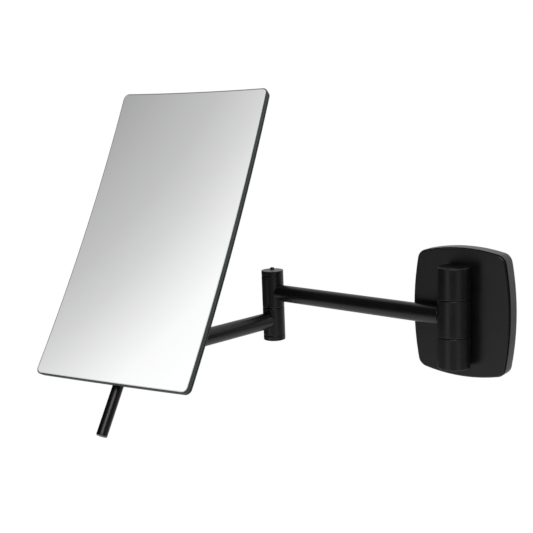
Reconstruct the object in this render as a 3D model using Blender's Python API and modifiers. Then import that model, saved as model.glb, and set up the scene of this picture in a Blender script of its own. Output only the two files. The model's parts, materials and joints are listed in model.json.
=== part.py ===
"""Wall-mounted shaving mirror on two folding swivel arms.

The wall is the plane y = 0 and the mirror stands out from it towards -Y, with +X to the right and
+Z up.  The origin is the centre of the wall plate's back.  Each joint has an empty on its axis, and
the pieces that turn with it are children of that empty:

    wall_swivel_axis > elbow_swivel_axis > head_swivel_axis > mirror_tilt_axis

In the first three frames +X runs along the arm and +Z is up.  In the tilt frame +X points out of the
glass at the hub, +Y is to the right for someone looking into the glass, and +Z runs up its back.
"""

import math

import bmesh
import bpy
from mathutils import Matrix, Vector

MM = 0.001
GAP = 0.3 * MM  # between two pieces that touch

# Wall plate: a front plate let into a side band, which drops over a steel channel
PLATE_WIDTH = 67.0 * MM
PLATE_HEIGHT = 84.0 * MM
PLATE_DEPTH = 10.6 * MM
PLATE_SIDE_BULGE = 2.9 * MM
PLATE_END_BULGE = 2.8 * MM
PLATE_CORNER = 6.9 * MM
PLATE_EDGE_ROUNDING = 0.7 * MM
PLATE_BACK = 6.8 * MM  # from the wall to the back of the front plate's body
PLATE_LIP = 0.8 * MM
LIP_INSET = 0.7 * MM  # the lip's edge lies this far inside the band's
BAND_DEPTH = 9.2 * MM
BAND_WALL = 2.6 * MM
PILLAR_RADIUS = 4.6 * MM
PILLAR_FOOT = 0.6 * MM  # the pillars stop this short of the wall
PILLAR_SINK = 2.6 * MM  # depth of the recess for a screw's head
PLATE_SKIN = 1.6 * MM  # left in front of a blind hole
BRACKET_WIDTH = 34.0 * MM
BRACKET_HEIGHT = 62.0 * MM
BRACKET_SHEET = 2.5 * MM
BRACKET_FLANGE = 5.4 * MM
WALL_SCREW_SPACING = 44.0 * MM
WALL_SCREW_HOLE = 2.5 * MM
SET_SCREW_LEVEL = 2.7 * MM
SET_SCREW_RADIUS = 1.4 * MM
SET_SCREW_SOCKET = 0.8 * MM
SET_SCREW_DEPTH = 0.6 * MM  # its end lies this far inside the band

# Screws: shank radius, head radius, head height and shank length
PLATE_SCREW = (1.1 * MM, 2.5 * MM, 1.5 * MM, 6.0 * MM)
KNUCKLE_SCREW = (2.0 * MM, 3.5 * MM, 2.9 * MM, 8.5 * MM)
HUB_SCREW = (1.2 * MM, 2.3 * MM, 1.4 * MM, 4.0 * MM)

# Arms
TUBE_RADIUS = 6.0 * MM
TUBE_BORE = 4.5 * MM
SPIGOT_RADIUS = 4.2 * MM
SPIGOT_LENGTH = 9.0 * MM
SPIGOT_ROOT = 1.5 * MM  # how far a spigot reaches into its barrel
INNER_ARM = 151.0 * MM
OUTER_ARM = 119.0 * MM
ARM_STEP = 20.5 * MM  # the outer arm runs this far below the inner one

# Wall knuckle: a fixed section above and below the turning one
KNUCKLE_RADIUS = 10.4 * MM
KNUCKLE_HALF = 32.3 * MM
KNUCKLE_SEAM = 12.0 * MM
KNUCKLE_DROP = 1.0 * MM  # its middle sits this far below the plate's
KNUCKLE_FLAT = 8.5 * MM  # from the axis to the flat backs of the fixed sections
KNUCKLE_FROM_WALL = PLATE_DEPTH + GAP + KNUCKLE_FLAT
KNUCKLE_NUT_SEAT = 24.8 * MM  # from the middle to the floor of the nut's recess
KNUCKLE_NUT_RECESS = 6.3 * MM
KNUCKLE_AXLE_HEAD = 5.8 * MM
KNUCKLE_CAP = 2.0 * MM
KNUCKLE_CAP_RADIUS = 7.8 * MM
KNUCKLE_WASHER_RADIUS = 6.9 * MM

# Elbow: the inner arm's barrel stands on the outer arm's.  Heights are from the inner arm's axis.
ELBOW_RADIUS = 8.0 * MM
ELBOW_TOP = 16.4 * MM
ELBOW_CAP_SEAM = 13.0 * MM
ELBOW_SEAM = -10.7 * MM
ELBOW_FOOT_SEAM = -31.6 * MM
ELBOW_BOTTOM = -35.3 * MM
ELBOW_HEAD_SEAT = 9.0 * MM
ELBOW_NUT_SEAT = -26.0 * MM
ELBOW_HEAD_RECESS = 5.3 * MM
ELBOW_NUT_RECESS = 6.0 * MM
ELBOW_FOOT_PLUG = 0.7 * MM
ELBOW_CAP_EDGE = 0.4 * MM
CAP_PIN_RADIUS = 1.7 * MM
CAP_PIN_RISE = 1.3 * MM
CAP_PIN_PLACE = (3.0 * MM, -3.35 * MM)  # from the elbow's axis

# Axles, bushes and washers
AXLE_RADIUS = 3.0 * MM
AXLE_HOLE = AXLE_RADIUS + GAP
BUSH_RADIUS = 4.3 * MM
BUSH_HOLE = BUSH_RADIUS + GAP
WASHER = 0.6 * MM
WASHER_RECESS = WASHER + GAP
SPRING_WASHER = 0.8 * MM
SPRING_WASHER_SHEET = 0.5 * MM
SPRING_WASHER_RADIUS = 5.6 * MM
NUT_HEIGHT = 3.3 * MM

# Head: a fork turns round the outer arm's last barrel and carries the tilt axle
HEAD_RADIUS = 7.0 * MM
HEAD_HALF = 6.5 * MM
HEAD_BUSH_WALL = 1.0 * MM
LUG_LOW = HEAD_HALF + WASHER + 2 * GAP
LUG_HIGH = LUG_LOW + 2.5 * MM
BRIDGE_BACK = HEAD_RADIUS + 0.35 * MM
BRIDGE_FRONT = BRIDGE_BACK + 2.25 * MM
HEAD_AXLE_RADIUS = 2.5 * MM
HEAD_AXLE_HEAD = 4.5 * MM
HEAD_NUT_RADIUS = 4.6 * MM
HEAD_NUT_HEIGHT = 3.2 * MM
TILT_OFFSET = 14.5 * MM  # from the head's swivel axis to the tilt axis
TILT_AXLE_RADIUS = 2.0 * MM
TILT_AXLE_HEAD = 3.6 * MM
TILT_NUT_RADIUS = 3.9 * MM
TILT_NUT_HEIGHT = 2.4 * MM
TONGUE_HALF = 4.0 * MM
TONGUE_RADIUS = 4.0 * MM
NECK_HALF = 3.4 * MM
EAR_NEAR = TONGUE_HALF + WASHER + 2 * GAP
EAR_FAR = EAR_NEAR + 2.8 * MM
EAR_RADIUS = 4.4 * MM
WEB_HALF = 4.0 * MM

# Mirror: a dished glass on a shell, held near its lower edge
MIRROR_WIDTH = 117.2 * MM
MIRROR_HEIGHT = 208.8 * MM
MIRROR_CORNER = 4.0 * MM
DISH_RADIUS = 1300.0 * MM
MIRROR_RISE = 82.1 * MM  # from the tilt axis up to the glass's centre
HUB_TO_GLASS = 15.2 * MM  # from the tilt axis to the reflecting face
GLASS = 3.0 * MM
PAD = 0.4 * MM
PAD_INSET = 10.0 * MM
PAD_CORNER = 8.0 * MM
SHELL = 1.5 * MM
SHELL_INSET = 0.2 * MM
HUB_PLATE = 2.0 * MM
HUB_BACK = HUB_TO_GLASS - GLASS - PAD - SHELL - HUB_PLATE - 3 * GAP
HUB_FRONT = HUB_BACK + HUB_PLATE
HUB_HALF_WIDTH = 14.0 * MM
HUB_BOTTOM = -16.0 * MM
HUB_TOP = 26.0 * MM
HUB_SCREW_HOLE = 1.5 * MM
BOSS_HALF = 5.5 * MM
BOSS_BACK = 1.5 * MM
BOSS_BOTTOM = -17.0 * MM
BOSS_TOP = -8.0 * MM
HANDLE_RADIUS = 3.5 * MM
HANDLE_OFFSET = 5.0 * MM  # from the tilt axis forward to the handle's axis
HANDLE_PIN = 2.0 * MM
HANDLE_PIN_TOP = -9.5 * MM
HANDLE_TOP = BOSS_BOTTOM - GAP
HANDLE_END = -53.0 * MM
HANDLE_EDGE = 0.5 * MM

# Rest angles, in degrees: plan directions are turned from +X about +Z
INNER_ARM_DIRECTION = 176.0
OUTER_ARM_DIRECTION = 262.4
MIRROR_DIRECTION = 278.6
HUB_TILT = 36.2  # how far the hub's face leans back from upright

PAST = 1.0 * MM  # how far a cutter reaches past the face that it opens
THROUGH = 20.0 * MM  # half the length of a cutter that goes right through
ROUND = 32  # sides of the large turned pieces
SMALL = 16  # sides of pins and holes
TINY = 12  # sides of small screws
SMOOTH_ANGLE = math.radians(35)
SCREW_MERGE = 0.00001

LOOKS = {
    "black paint": ((0.020, 0.020, 0.022), 0.42, 0.0),
    "black plastic": ((0.028, 0.028, 0.030), 0.55, 0.0),
    "steel": ((0.60, 0.60, 0.62), 0.30, 1.0),
    "nylon": ((0.82, 0.81, 0.77), 0.50, 0.0),
    "foam": ((0.08, 0.08, 0.08), 0.90, 0.0),
    "mirror": ((0.88, 0.90, 0.91), 0.02, 1.0),
}


# ---------------------------------------------------------------- scene and objects


def clear_scene():
    for obj in list(bpy.data.objects):
        bpy.data.objects.remove(obj, do_unlink=True)


def new_collection(name):
    collection = bpy.data.collections.new(name)
    bpy.context.scene.collection.children.link(collection)
    return collection


def add_empty(name, parent=None, place=(0, 0, 0), turn=(0, 0, 0)):
    empty = bpy.data.objects.new(name, None)
    empty.empty_display_size = 0.02
    empty.parent = parent
    empty.location = place
    empty.rotation_euler = turn
    PARTS.objects.link(empty)
    return empty


def add_material(name, look):
    colour, roughness, metallic = LOOKS[look]
    material = bpy.data.materials.new(name)
    material.use_nodes = True
    shader = material.node_tree.nodes["Principled BSDF"]
    shader.inputs["Base Color"].default_value = (*colour, 1)
    shader.inputs["Roughness"].default_value = roughness
    shader.inputs["Metallic"].default_value = metallic
    return material


def add_object(name, mesh, parent, look):
    """A part with its own material or, with no look, a cutter."""
    obj = bpy.data.objects.new(name, mesh)
    obj.parent = parent
    if look:
        mesh.materials.append(add_material(name, look))
        PARTS.objects.link(obj)
    else:
        obj.hide_render = True
        obj.display_type = "WIRE"
        CUTTERS.objects.link(obj)
    return obj


def shade(mesh):
    mesh.shade_smooth()
    mesh.set_sharp_from_angle(angle=SMOOTH_ANGLE)


def mesh_of(name, shape):
    mesh = bpy.data.meshes.new(name)
    shape.to_mesh(mesh)
    shape.free()
    shade(mesh)
    return mesh


def evaluated_mesh(obj):
    graph = bpy.context.evaluated_depsgraph_get()
    return bpy.data.meshes.new_from_object(obj.evaluated_get(graph))


# ---------------------------------------------------------------- shapes


def turned(name, profile, parent, look=None, centre=(0, 0, 0), sides=ROUND):
    """A solid turned about a vertical line through centre.

    The profile is a list of (radius, height) that runs down its outer side.  One that starts and
    ends on the axis makes a solid piece, and any other is closed into a ring.
    """
    mesh = bpy.data.meshes.new(name)
    points = [(radius, 0, height) for radius, height in profile]
    edges = [(i, i + 1) for i in range(len(points) - 1)]
    if profile[0][0] > 0:
        edges.append((len(points) - 1, 0))
    mesh.from_pydata(points, edges, [])
    obj = add_object(name, mesh, parent, look)
    screw = obj.modifiers.new("Turn", "SCREW")
    screw.steps = sides
    screw.render_steps = sides
    screw.use_merge_vertices = True
    screw.merge_threshold = SCREW_MERGE
    obj.data = evaluated_mesh(obj)
    obj.modifiers.clear()
    obj.data.transform(Matrix.Translation(centre))
    shade(obj.data)
    return obj


def ring(name, hole, radius, low, high, parent, look=None, centre=(0, 0, 0), sides=ROUND):
    profile = [(radius, high), (radius, low), (hole, low), (hole, high)]
    return turned(name, profile, parent, look, centre, sides)


def lay(obj, direction, place=(0, 0, 0)):
    """Points a turned piece's +Z along direction, from place."""
    turn = Vector(direction).to_track_quat("Z", "Y").to_matrix().to_4x4()
    obj.data.transform(Matrix.Translation(place) @ turn)
    return obj


def bar(name, start, end, radius, parent, look=None, sides=SMALL):
    """A plain cylinder from start to end."""
    start, end = Vector(start), Vector(end)
    turn = (end - start).to_track_quat("Z", "Y").to_matrix().to_4x4()
    matrix = Matrix.Translation((start + end) / 2) @ turn
    shape = bmesh.new()
    bmesh.ops.create_cone(
        shape,
        cap_ends=True,
        segments=sides,
        radius1=radius,
        radius2=radius,
        depth=(end - start).length,
        matrix=matrix,
    )
    return add_object(name, mesh_of(name, shape), parent, look)


def box(name, low, high, parent, look=None):
    low, high = Vector(low), Vector(high)
    matrix = Matrix.Translation((low + high) / 2) @ Matrix.Diagonal((*(high - low), 1))
    shape = bmesh.new()
    bmesh.ops.create_cube(shape, size=1, matrix=matrix)
    return add_object(name, mesh_of(name, shape), parent, look)


def slab(name, outlines, low, high, parent, look=None):
    """Flat outlines in the frame's XY plane, the first with the rest as holes, from low to high."""
    curve = bpy.data.curves.new(name, "CURVE")
    curve.dimensions = "2D"
    curve.fill_mode = "BOTH"
    curve.extrude = (high - low) / 2
    for outline in outlines:
        spline = curve.splines.new("POLY")
        spline.points.add(len(outline) - 1)
        for point, (x, y) in zip(spline.points, outline):
            point.co = (x, y, 0, 1)
        spline.use_cyclic_u = True
    guide = bpy.data.objects.new(name + "_outline", curve)
    CUTTERS.objects.link(guide)
    mesh = evaluated_mesh(guide)
    bpy.data.objects.remove(guide)
    shape = bmesh.new()
    shape.from_mesh(mesh)
    bmesh.ops.remove_doubles(shape, verts=shape.verts, dist=SCREW_MERGE)
    bmesh.ops.translate(shape, verts=shape.verts, vec=(0, 0, (low + high) / 2))
    return add_object(name, mesh_of(name, shape), parent, look)


def combine(target, tool, operation):
    modifier = target.modifiers.new(tool.name, "BOOLEAN")
    modifier.operation = operation
    modifier.object = tool


def cut(target, *tools):
    for tool in tools:
        combine(target, tool, "DIFFERENCE")


def join(target, *tools):
    for tool in tools:
        combine(target, tool, "UNION")


# ---------------------------------------------------------------- outlines


def arc(centre, radius, start, end, steps):
    """Points from angle start to angle end, in radians, both included."""
    angles = [start + (end - start) * i / steps for i in range(steps + 1)]
    return [(centre[0] + radius * math.cos(a), centre[1] + radius * math.sin(a)) for a in angles]


def bulged_outline(inset=0.0, side_steps=5, corner_steps=3):
    """The wall plate's outline: four bowed sides between rounded corners, moved in by inset."""
    half_width, half_height = corner_places()[0]
    corner = PLATE_CORNER - inset
    sides = []
    for reach, half, bulge in (
        (half_width, half_height, PLATE_SIDE_BULGE),
        (half_height, half_width, PLATE_END_BULGE),
    ):
        bow = (half * half + bulge * bulge) / (2 * bulge)
        sides.append((reach, half, bow, reach + bulge - bow, math.asin(half / bow)))
    points = []
    for quarter in range(4):
        facing = quarter * math.pi / 2
        reach, half, bow, back, sweep = sides[quarter % 2]
        next_sweep = sides[(quarter + 1) % 2][-1]
        along, across = math.cos(facing), math.sin(facing)
        middle = (back * along, back * across)
        points += arc(middle, bow + corner, facing - sweep, facing + sweep, side_steps)
        joint = (reach * along - half * across, reach * across + half * along)
        end = facing + math.pi / 2 - next_sweep
        points += arc(joint, corner, facing + sweep, end, corner_steps)[1:-1]
    return points


def corner_places():
    """The centres of the plate's corners, where its four screws are, in the wall frame."""
    x = PLATE_WIDTH / 2 - PLATE_SIDE_BULGE - PLATE_CORNER
    y = PLATE_HEIGHT / 2 - PLATE_END_BULGE - PLATE_CORNER
    return [(x, y), (-x, y), (-x, -y), (x, -y)]


def rounded_outline(width, height, radius, corner_steps=3):
    points = []
    for quarter, (x, y) in enumerate([(1, 1), (-1, 1), (-1, -1), (1, -1)]):
        centre = (x * (width / 2 - radius), y * (height / 2 - radius))
        start = quarter * math.pi / 2
        points += arc(centre, radius, start, start + math.pi / 2, corner_steps)
    return points


# ---------------------------------------------------------------- fasteners


def axle(name, radius, head_radius, head, length, parent, sides=SMALL):
    """A headed axle: its head stands on z = 0 and its shank runs down."""
    profile = [
        (0, head),
        (head_radius, head),
        (head_radius, 0),
        (radius, 0),
        (radius, -length),
        (0, -length),
    ]
    return turned(name, profile, parent, "steel", sides=sides)


def nut(name, hole, radius, low, high, parent, centre=(0, 0, 0), turn=None):
    """A hexagon nut about a vertical line through centre or, with turn, about that direction."""
    profile = [(0, high), (radius, high), (radius, low), (0, low)]
    body = turned(name, profile, parent, "steel", sides=6)
    thread = bar(name + "_hole", (0, 0, low - PAST), (0, 0, high + PAST), hole, parent)
    for piece in (body, thread):
        lay(piece, turn or (0, 0, 1), centre)
    cut(body, thread)


def dished_washer(name, high, parent, centre=(0, 0, 0)):
    """A cone-shaped spring washer round an axle, with its upper edge at high."""
    low = high - SPRING_WASHER
    profile = [
        (AXLE_HOLE, high),
        (SPRING_WASHER_RADIUS, low + SPRING_WASHER_SHEET),
        (SPRING_WASHER_RADIUS, low),
        (AXLE_HOLE, high - SPRING_WASHER_SHEET),
    ]
    turned(name, profile, parent, "steel", centre, SMALL)


def socket_screw(name, size, parent, direction, place, sides=SMALL):
    """A cap screw with a hexagon socket: its head stands on place and points along direction."""
    radius, head_radius, head, length = size
    screw = axle(name, radius, head_radius, head, length, parent, sides)
    wide = 0.8 * radius
    socket = turned(
        name + "_socket",
        [(0, 2 * head), (wide, 2 * head), (wide, head / 2), (0, head / 2)],
        parent,
        sides=6,
    )
    for piece in (screw, socket):
        lay(piece, direction, place)
    cut(screw, socket)


# ---------------------------------------------------------------- wall plate


def upright_bar(name, place, low, high, radius, parent, look=None, sides=SMALL):
    """A cylinder along the frame's Z axis, over the point place."""
    return bar(name, (*place, low), (*place, high), radius, parent, look, sides)


def make_wall_band(wall):
    """The plate's side band, with a pillar in each corner for the front plate's screws."""
    outlines = [bulged_outline(), bulged_outline(BAND_WALL)]
    band = slab("wall_band", outlines, 0, BAND_DEPTH, wall, "black paint")
    pillar_top = PLATE_BACK - GAP
    screw_hole = PLATE_SCREW[0] + GAP + 0.2 * MM
    head_hole = PLATE_SCREW[1] + GAP + 0.1 * MM
    for number, place in enumerate(corner_places(), 1):
        pillar = upright_bar(
            f"band_pillar_{number}", place, PILLAR_FOOT, pillar_top, PILLAR_RADIUS, wall
        )
        join(band, pillar)
    for number, place in enumerate(corner_places(), 1):
        cut(
            band,
            upright_bar(f"band_hole_{number}", place, -PAST, BAND_DEPTH + PAST, screw_hole, wall),
            upright_bar(f"band_sink_{number}", place, -PAST, PILLAR_SINK, head_hole, wall),
        )
    bottom = -PLATE_HEIGHT / 2
    inside = bottom + 2 * BAND_WALL
    hole = SET_SCREW_RADIUS + GAP
    start, end = (0, bottom - PAST, SET_SCREW_LEVEL), (0, inside, SET_SCREW_LEVEL)
    cut(band, bar("set_screw_hole", start, end, hole, wall))


def make_wall_plate(wall):
    """The front plate: a lip with rounded edges over the band, a body that sits inside the band,
    and a hollow that clears the turning section of the knuckle."""
    low = PLATE_DEPTH - PLATE_LIP
    lip = bulged_outline(LIP_INSET)
    plate = slab("wall_plate", [lip], low, PLATE_DEPTH, wall, "black paint")
    rounding = plate.modifiers.new("Edge", "BEVEL")
    rounding.width = PLATE_EDGE_ROUNDING
    rounding.segments = 2
    rounding.limit_method = "WEIGHT"
    weights = plate.data.attributes.new("bevel_weight_edge", "FLOAT", "EDGE")
    for edge in plate.data.edges:
        heights = [plate.data.vertices[i].co.z for i in edge.vertices]
        weights.data[edge.index].value = float(min(heights) > PLATE_DEPTH - GAP)
    body = bulged_outline(BAND_WALL + GAP)
    join(plate, slab("plate_body", [body], PLATE_BACK, low + PLATE_LIP / 2, wall))
    front = PLATE_DEPTH + PAST
    for number, height in enumerate(section_screw_heights(), 1):
        hole = KNUCKLE_SCREW[0] + GAP
        cut(plate, upright_bar(f"plate_knuckle_hole_{number}", (0, height), 0, front, hole, wall))
    for number, place in enumerate(corner_places(), 1):
        hole = PLATE_SCREW[0] + GAP
        depth = PLATE_DEPTH - PLATE_SKIN
        cut(plate, upright_bar(f"plate_corner_hole_{number}", place, 0, depth, hole, wall))
    reach = KNUCKLE_SEAM + PAST
    relief = bar(
        "plate_relief",
        (0, -KNUCKLE_DROP - reach, KNUCKLE_FROM_WALL),
        (0, -KNUCKLE_DROP + reach, KNUCKLE_FROM_WALL),
        KNUCKLE_RADIUS + 2 * GAP,
        wall,
        sides=ROUND,
    )
    cut(plate, relief)


def section_screw_heights():
    """How high each fixed section's screw is, in the wall frame."""
    off_middle = (KNUCKLE_SEAM + KNUCKLE_NUT_SEAT) / 2
    return [-KNUCKLE_DROP + off_middle, -KNUCKLE_DROP - off_middle]


def make_wall_bracket(wall):
    """The steel channel that is screwed to the wall: the band drops over it."""
    across, up = BRACKET_WIDTH / 2, BRACKET_HEIGHT / 2
    bracket = box("wall_bracket", (-across, -up, 0), (across, up, BRACKET_FLANGE), wall, "steel")
    channel = box(
        "bracket_channel",
        (-across - PAST, -up + BRACKET_SHEET, BRACKET_SHEET),
        (across + PAST, up - BRACKET_SHEET, BRACKET_FLANGE + PAST),
        wall,
    )
    cut(bracket, channel)
    front = BRACKET_SHEET + PAST
    for number, side in enumerate((1, -1), 1):
        place = (0, side * WALL_SCREW_SPACING / 2)
        name = f"bracket_hole_{number}"
        cut(bracket, upright_bar(name, place, -PAST, front, WALL_SCREW_HOLE, wall))


def make_plate_fasteners(wall):
    for number, place in enumerate(corner_places(), 1):
        seat = (*place, PILLAR_SINK - GAP)
        socket_screw(f"plate_screw_{number}", PLATE_SCREW, wall, (0, 0, -1), seat, TINY)
    for number, height in enumerate(section_screw_heights(), 1):
        seat = (0, height, PLATE_BACK - GAP)
        socket_screw(f"knuckle_screw_{number}", KNUCKLE_SCREW, wall, (0, 0, -1), seat)
    start = (0, -PLATE_HEIGHT / 2 + SET_SCREW_DEPTH, SET_SCREW_LEVEL)
    end = (0, -BRACKET_HEIGHT / 2 - GAP, SET_SCREW_LEVEL)
    grub = bar("plate_set_screw", start, end, SET_SCREW_RADIUS, wall, "steel")
    below = (0, start[1] - PAST, SET_SCREW_LEVEL)
    inside = (0, start[1] + 2 * MM, SET_SCREW_LEVEL)
    cut(grub, bar("set_screw_socket", below, inside, SET_SCREW_SOCKET, wall, sides=6))


# ---------------------------------------------------------------- wall knuckle


def fixed_section_profile():
    """The upper fixed section: an axle hole, a washer recess below and a capped recess above."""
    low = KNUCKLE_SEAM + GAP / 2
    washer_recess = KNUCKLE_WASHER_RADIUS + GAP
    cap_recess = KNUCKLE_CAP_RADIUS + GAP
    cap_seat = KNUCKLE_HALF - KNUCKLE_CAP - GAP
    return [
        (KNUCKLE_RADIUS, KNUCKLE_HALF),
        (KNUCKLE_RADIUS, low),
        (washer_recess, low),
        (washer_recess, low + WASHER_RECESS),
        (AXLE_HOLE, low + WASHER_RECESS),
        (AXLE_HOLE, KNUCKLE_NUT_SEAT),
        (KNUCKLE_NUT_RECESS, KNUCKLE_NUT_SEAT),
        (KNUCKLE_NUT_RECESS, cap_seat),
        (cap_recess, cap_seat),
        (cap_recess, KNUCKLE_HALF),
    ]


def upside_down(profile):
    """The same ring below z = 0, still running down its outer side."""
    flipped = [(radius, -height) for radius, height in profile]
    return [flipped[1], flipped[0]] + flipped[:1:-1]


def make_knuckle(knuckle, wall):
    """The two fixed sections with what they hold: axle, washers, nut and caps."""
    reach = KNUCKLE_RADIUS + PAST
    hole = KNUCKLE_SCREW[0] + GAP
    hole_end = PLATE_BACK + KNUCKLE_SCREW[3] + GAP
    for name, side in (("top", 1), ("bottom", -1)):
        profile = fixed_section_profile()
        if side < 0:
            profile = upside_down(profile)
        section = turned(f"knuckle_{name}", profile, knuckle, "black paint")
        low, high = sorted((side * (KNUCKLE_SEAM - PAST), side * (KNUCKLE_HALF + PAST)))
        back = box(f"{name}_flat", (-reach, KNUCKLE_FLAT, low), (reach, reach, high), knuckle)
        place = (0, section_screw_heights()[0 if side > 0 else 1])
        screw = upright_bar(f"{name}_screw_hole", place, PLATE_BACK, hole_end, hole, wall)
        cut(section, back, screw)

        low, high = sorted((side * (KNUCKLE_HALF - KNUCKLE_CAP), side * KNUCKLE_HALF))
        profile = [(0, high), (KNUCKLE_CAP_RADIUS, high), (KNUCKLE_CAP_RADIUS, low), (0, low)]
        turned(f"knuckle_cap_{name}", profile, knuckle, "black paint")
        near = KNUCKLE_SEAM + GAP / 2
        low, high = sorted((side * near, side * (near + WASHER)))
        washer = f"knuckle_washer_{name}"
        ring(washer, AXLE_HOLE, KNUCKLE_WASHER_RADIUS, low, high, knuckle, "nylon", sides=SMALL)

    seat = KNUCKLE_NUT_SEAT + GAP
    nut_high = -seat - SPRING_WASHER - GAP
    nut_low = nut_high - NUT_HEIGHT
    pin = axle(
        "knuckle_axle", AXLE_RADIUS, KNUCKLE_AXLE_HEAD, NUT_HEIGHT, seat - nut_low, knuckle
    )
    pin.data.transform(Matrix.Translation((0, 0, seat)))
    dished_washer("knuckle_spring_washer", -seat, knuckle)
    nut("knuckle_nut", AXLE_HOLE, KNUCKLE_AXLE_HEAD, nut_low, nut_high, knuckle)


# ---------------------------------------------------------------- arms and elbow


def add_spigot(barrel, name, start, direction, height, frame, centre=0.0):
    """The stub that the arm's tube is pushed onto: it leaves the barrel along +X or -X."""
    near = (centre + direction * (start - SPIGOT_ROOT), 0, height)
    far = (centre + direction * (start + SPIGOT_LENGTH), 0, height)
    join(barrel, bar(name, near, far, SPIGOT_RADIUS, frame))


def make_tube(name, start_radius, end, end_radius, height, frame):
    """A tube along +X whose ends are cut to fit round the barrels at x = 0 and x = end."""
    profile = [(TUBE_RADIUS, end), (TUBE_RADIUS, 0), (TUBE_BORE, 0), (TUBE_BORE, end)]
    tube = turned(name, profile, frame, "black paint")
    lay(tube, (1, 0, 0), (0, 0, height))
    low, high = height - THROUGH, height + THROUGH
    for end_name, x, radius in (("near", 0, start_radius), ("far", end, end_radius)):
        saddle = f"{name}_{end_name}_saddle"
        cut(tube, upright_bar(saddle, (x, 0), low, high, radius + GAP, frame, sides=ROUND))


def make_inner_arm(arm):
    """Everything that turns about the wall knuckle: barrel, tube, and the elbow's upper half."""
    half = KNUCKLE_SEAM - GAP / 2
    barrel = ring("inner_arm_barrel", BUSH_HOLE, KNUCKLE_RADIUS, -half, half, arm, "black paint")
    add_spigot(barrel, "inner_arm_near_spigot", KNUCKLE_RADIUS, 1, 0, arm)
    bush = half - GAP
    ring("inner_arm_bush", AXLE_HOLE, BUSH_RADIUS, -bush, bush, arm, "nylon", sides=SMALL)
    make_tube("inner_arm_tube", KNUCKLE_RADIUS, INNER_ARM, ELBOW_RADIUS, 0, arm)

    elbow = (INNER_ARM, 0, 0)
    top = ELBOW_CAP_SEAM - GAP / 2
    bottom = ELBOW_SEAM + GAP / 2
    profile = [
        (ELBOW_RADIUS, top),
        (ELBOW_RADIUS, bottom),
        (AXLE_HOLE, bottom),
        (AXLE_HOLE, ELBOW_HEAD_SEAT),
        (ELBOW_HEAD_RECESS, ELBOW_HEAD_SEAT),
        (ELBOW_HEAD_RECESS, top),
    ]
    upper = turned("elbow_upper_barrel", profile, arm, "black paint", elbow)
    add_spigot(upper, "inner_arm_far_spigot", ELBOW_RADIUS, -1, 0, arm, INNER_ARM)

    seat = ELBOW_HEAD_SEAT + GAP
    nut_high = ELBOW_NUT_SEAT - SPRING_WASHER - 2 * GAP
    nut_low = nut_high - NUT_HEIGHT
    head = ELBOW_HEAD_RECESS - GAP
    pin = axle("elbow_axle", AXLE_RADIUS, head, 2.2 * MM, seat - nut_low, arm)
    pin.data.transform(Matrix.Translation((INNER_ARM, 0, seat)))
    dished_washer("elbow_spring_washer", ELBOW_NUT_SEAT - GAP, arm, elbow)
    nut("elbow_nut", AXLE_HOLE, 5.5 * MM, nut_low, nut_high, arm, elbow)

    low = ELBOW_CAP_SEAM + GAP / 2
    profile = [
        (0, ELBOW_TOP),
        (ELBOW_RADIUS - ELBOW_CAP_EDGE, ELBOW_TOP),
        (ELBOW_RADIUS, ELBOW_TOP - ELBOW_CAP_EDGE),
        (ELBOW_RADIUS, low),
        (0, low),
    ]
    cap = turned("elbow_cap", profile, arm, "black paint", elbow)
    x, y = INNER_ARM + CAP_PIN_PLACE[0], CAP_PIN_PLACE[1]
    hole = CAP_PIN_RADIUS + GAP
    cut(cap, upright_bar("cap_pin_hole", (x, y), low - PAST, ELBOW_TOP + PAST, hole, arm))
    profile = [
        (0, ELBOW_TOP + CAP_PIN_RISE),
        (0.65 * CAP_PIN_RADIUS, ELBOW_TOP + CAP_PIN_RISE),
        (CAP_PIN_RADIUS, ELBOW_TOP + 0.3 * CAP_PIN_RISE),
        (CAP_PIN_RADIUS, low),
        (0, low),
    ]
    turned("elbow_cap_pin", profile, arm, "black paint", (x, y, 0), SMALL)


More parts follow.
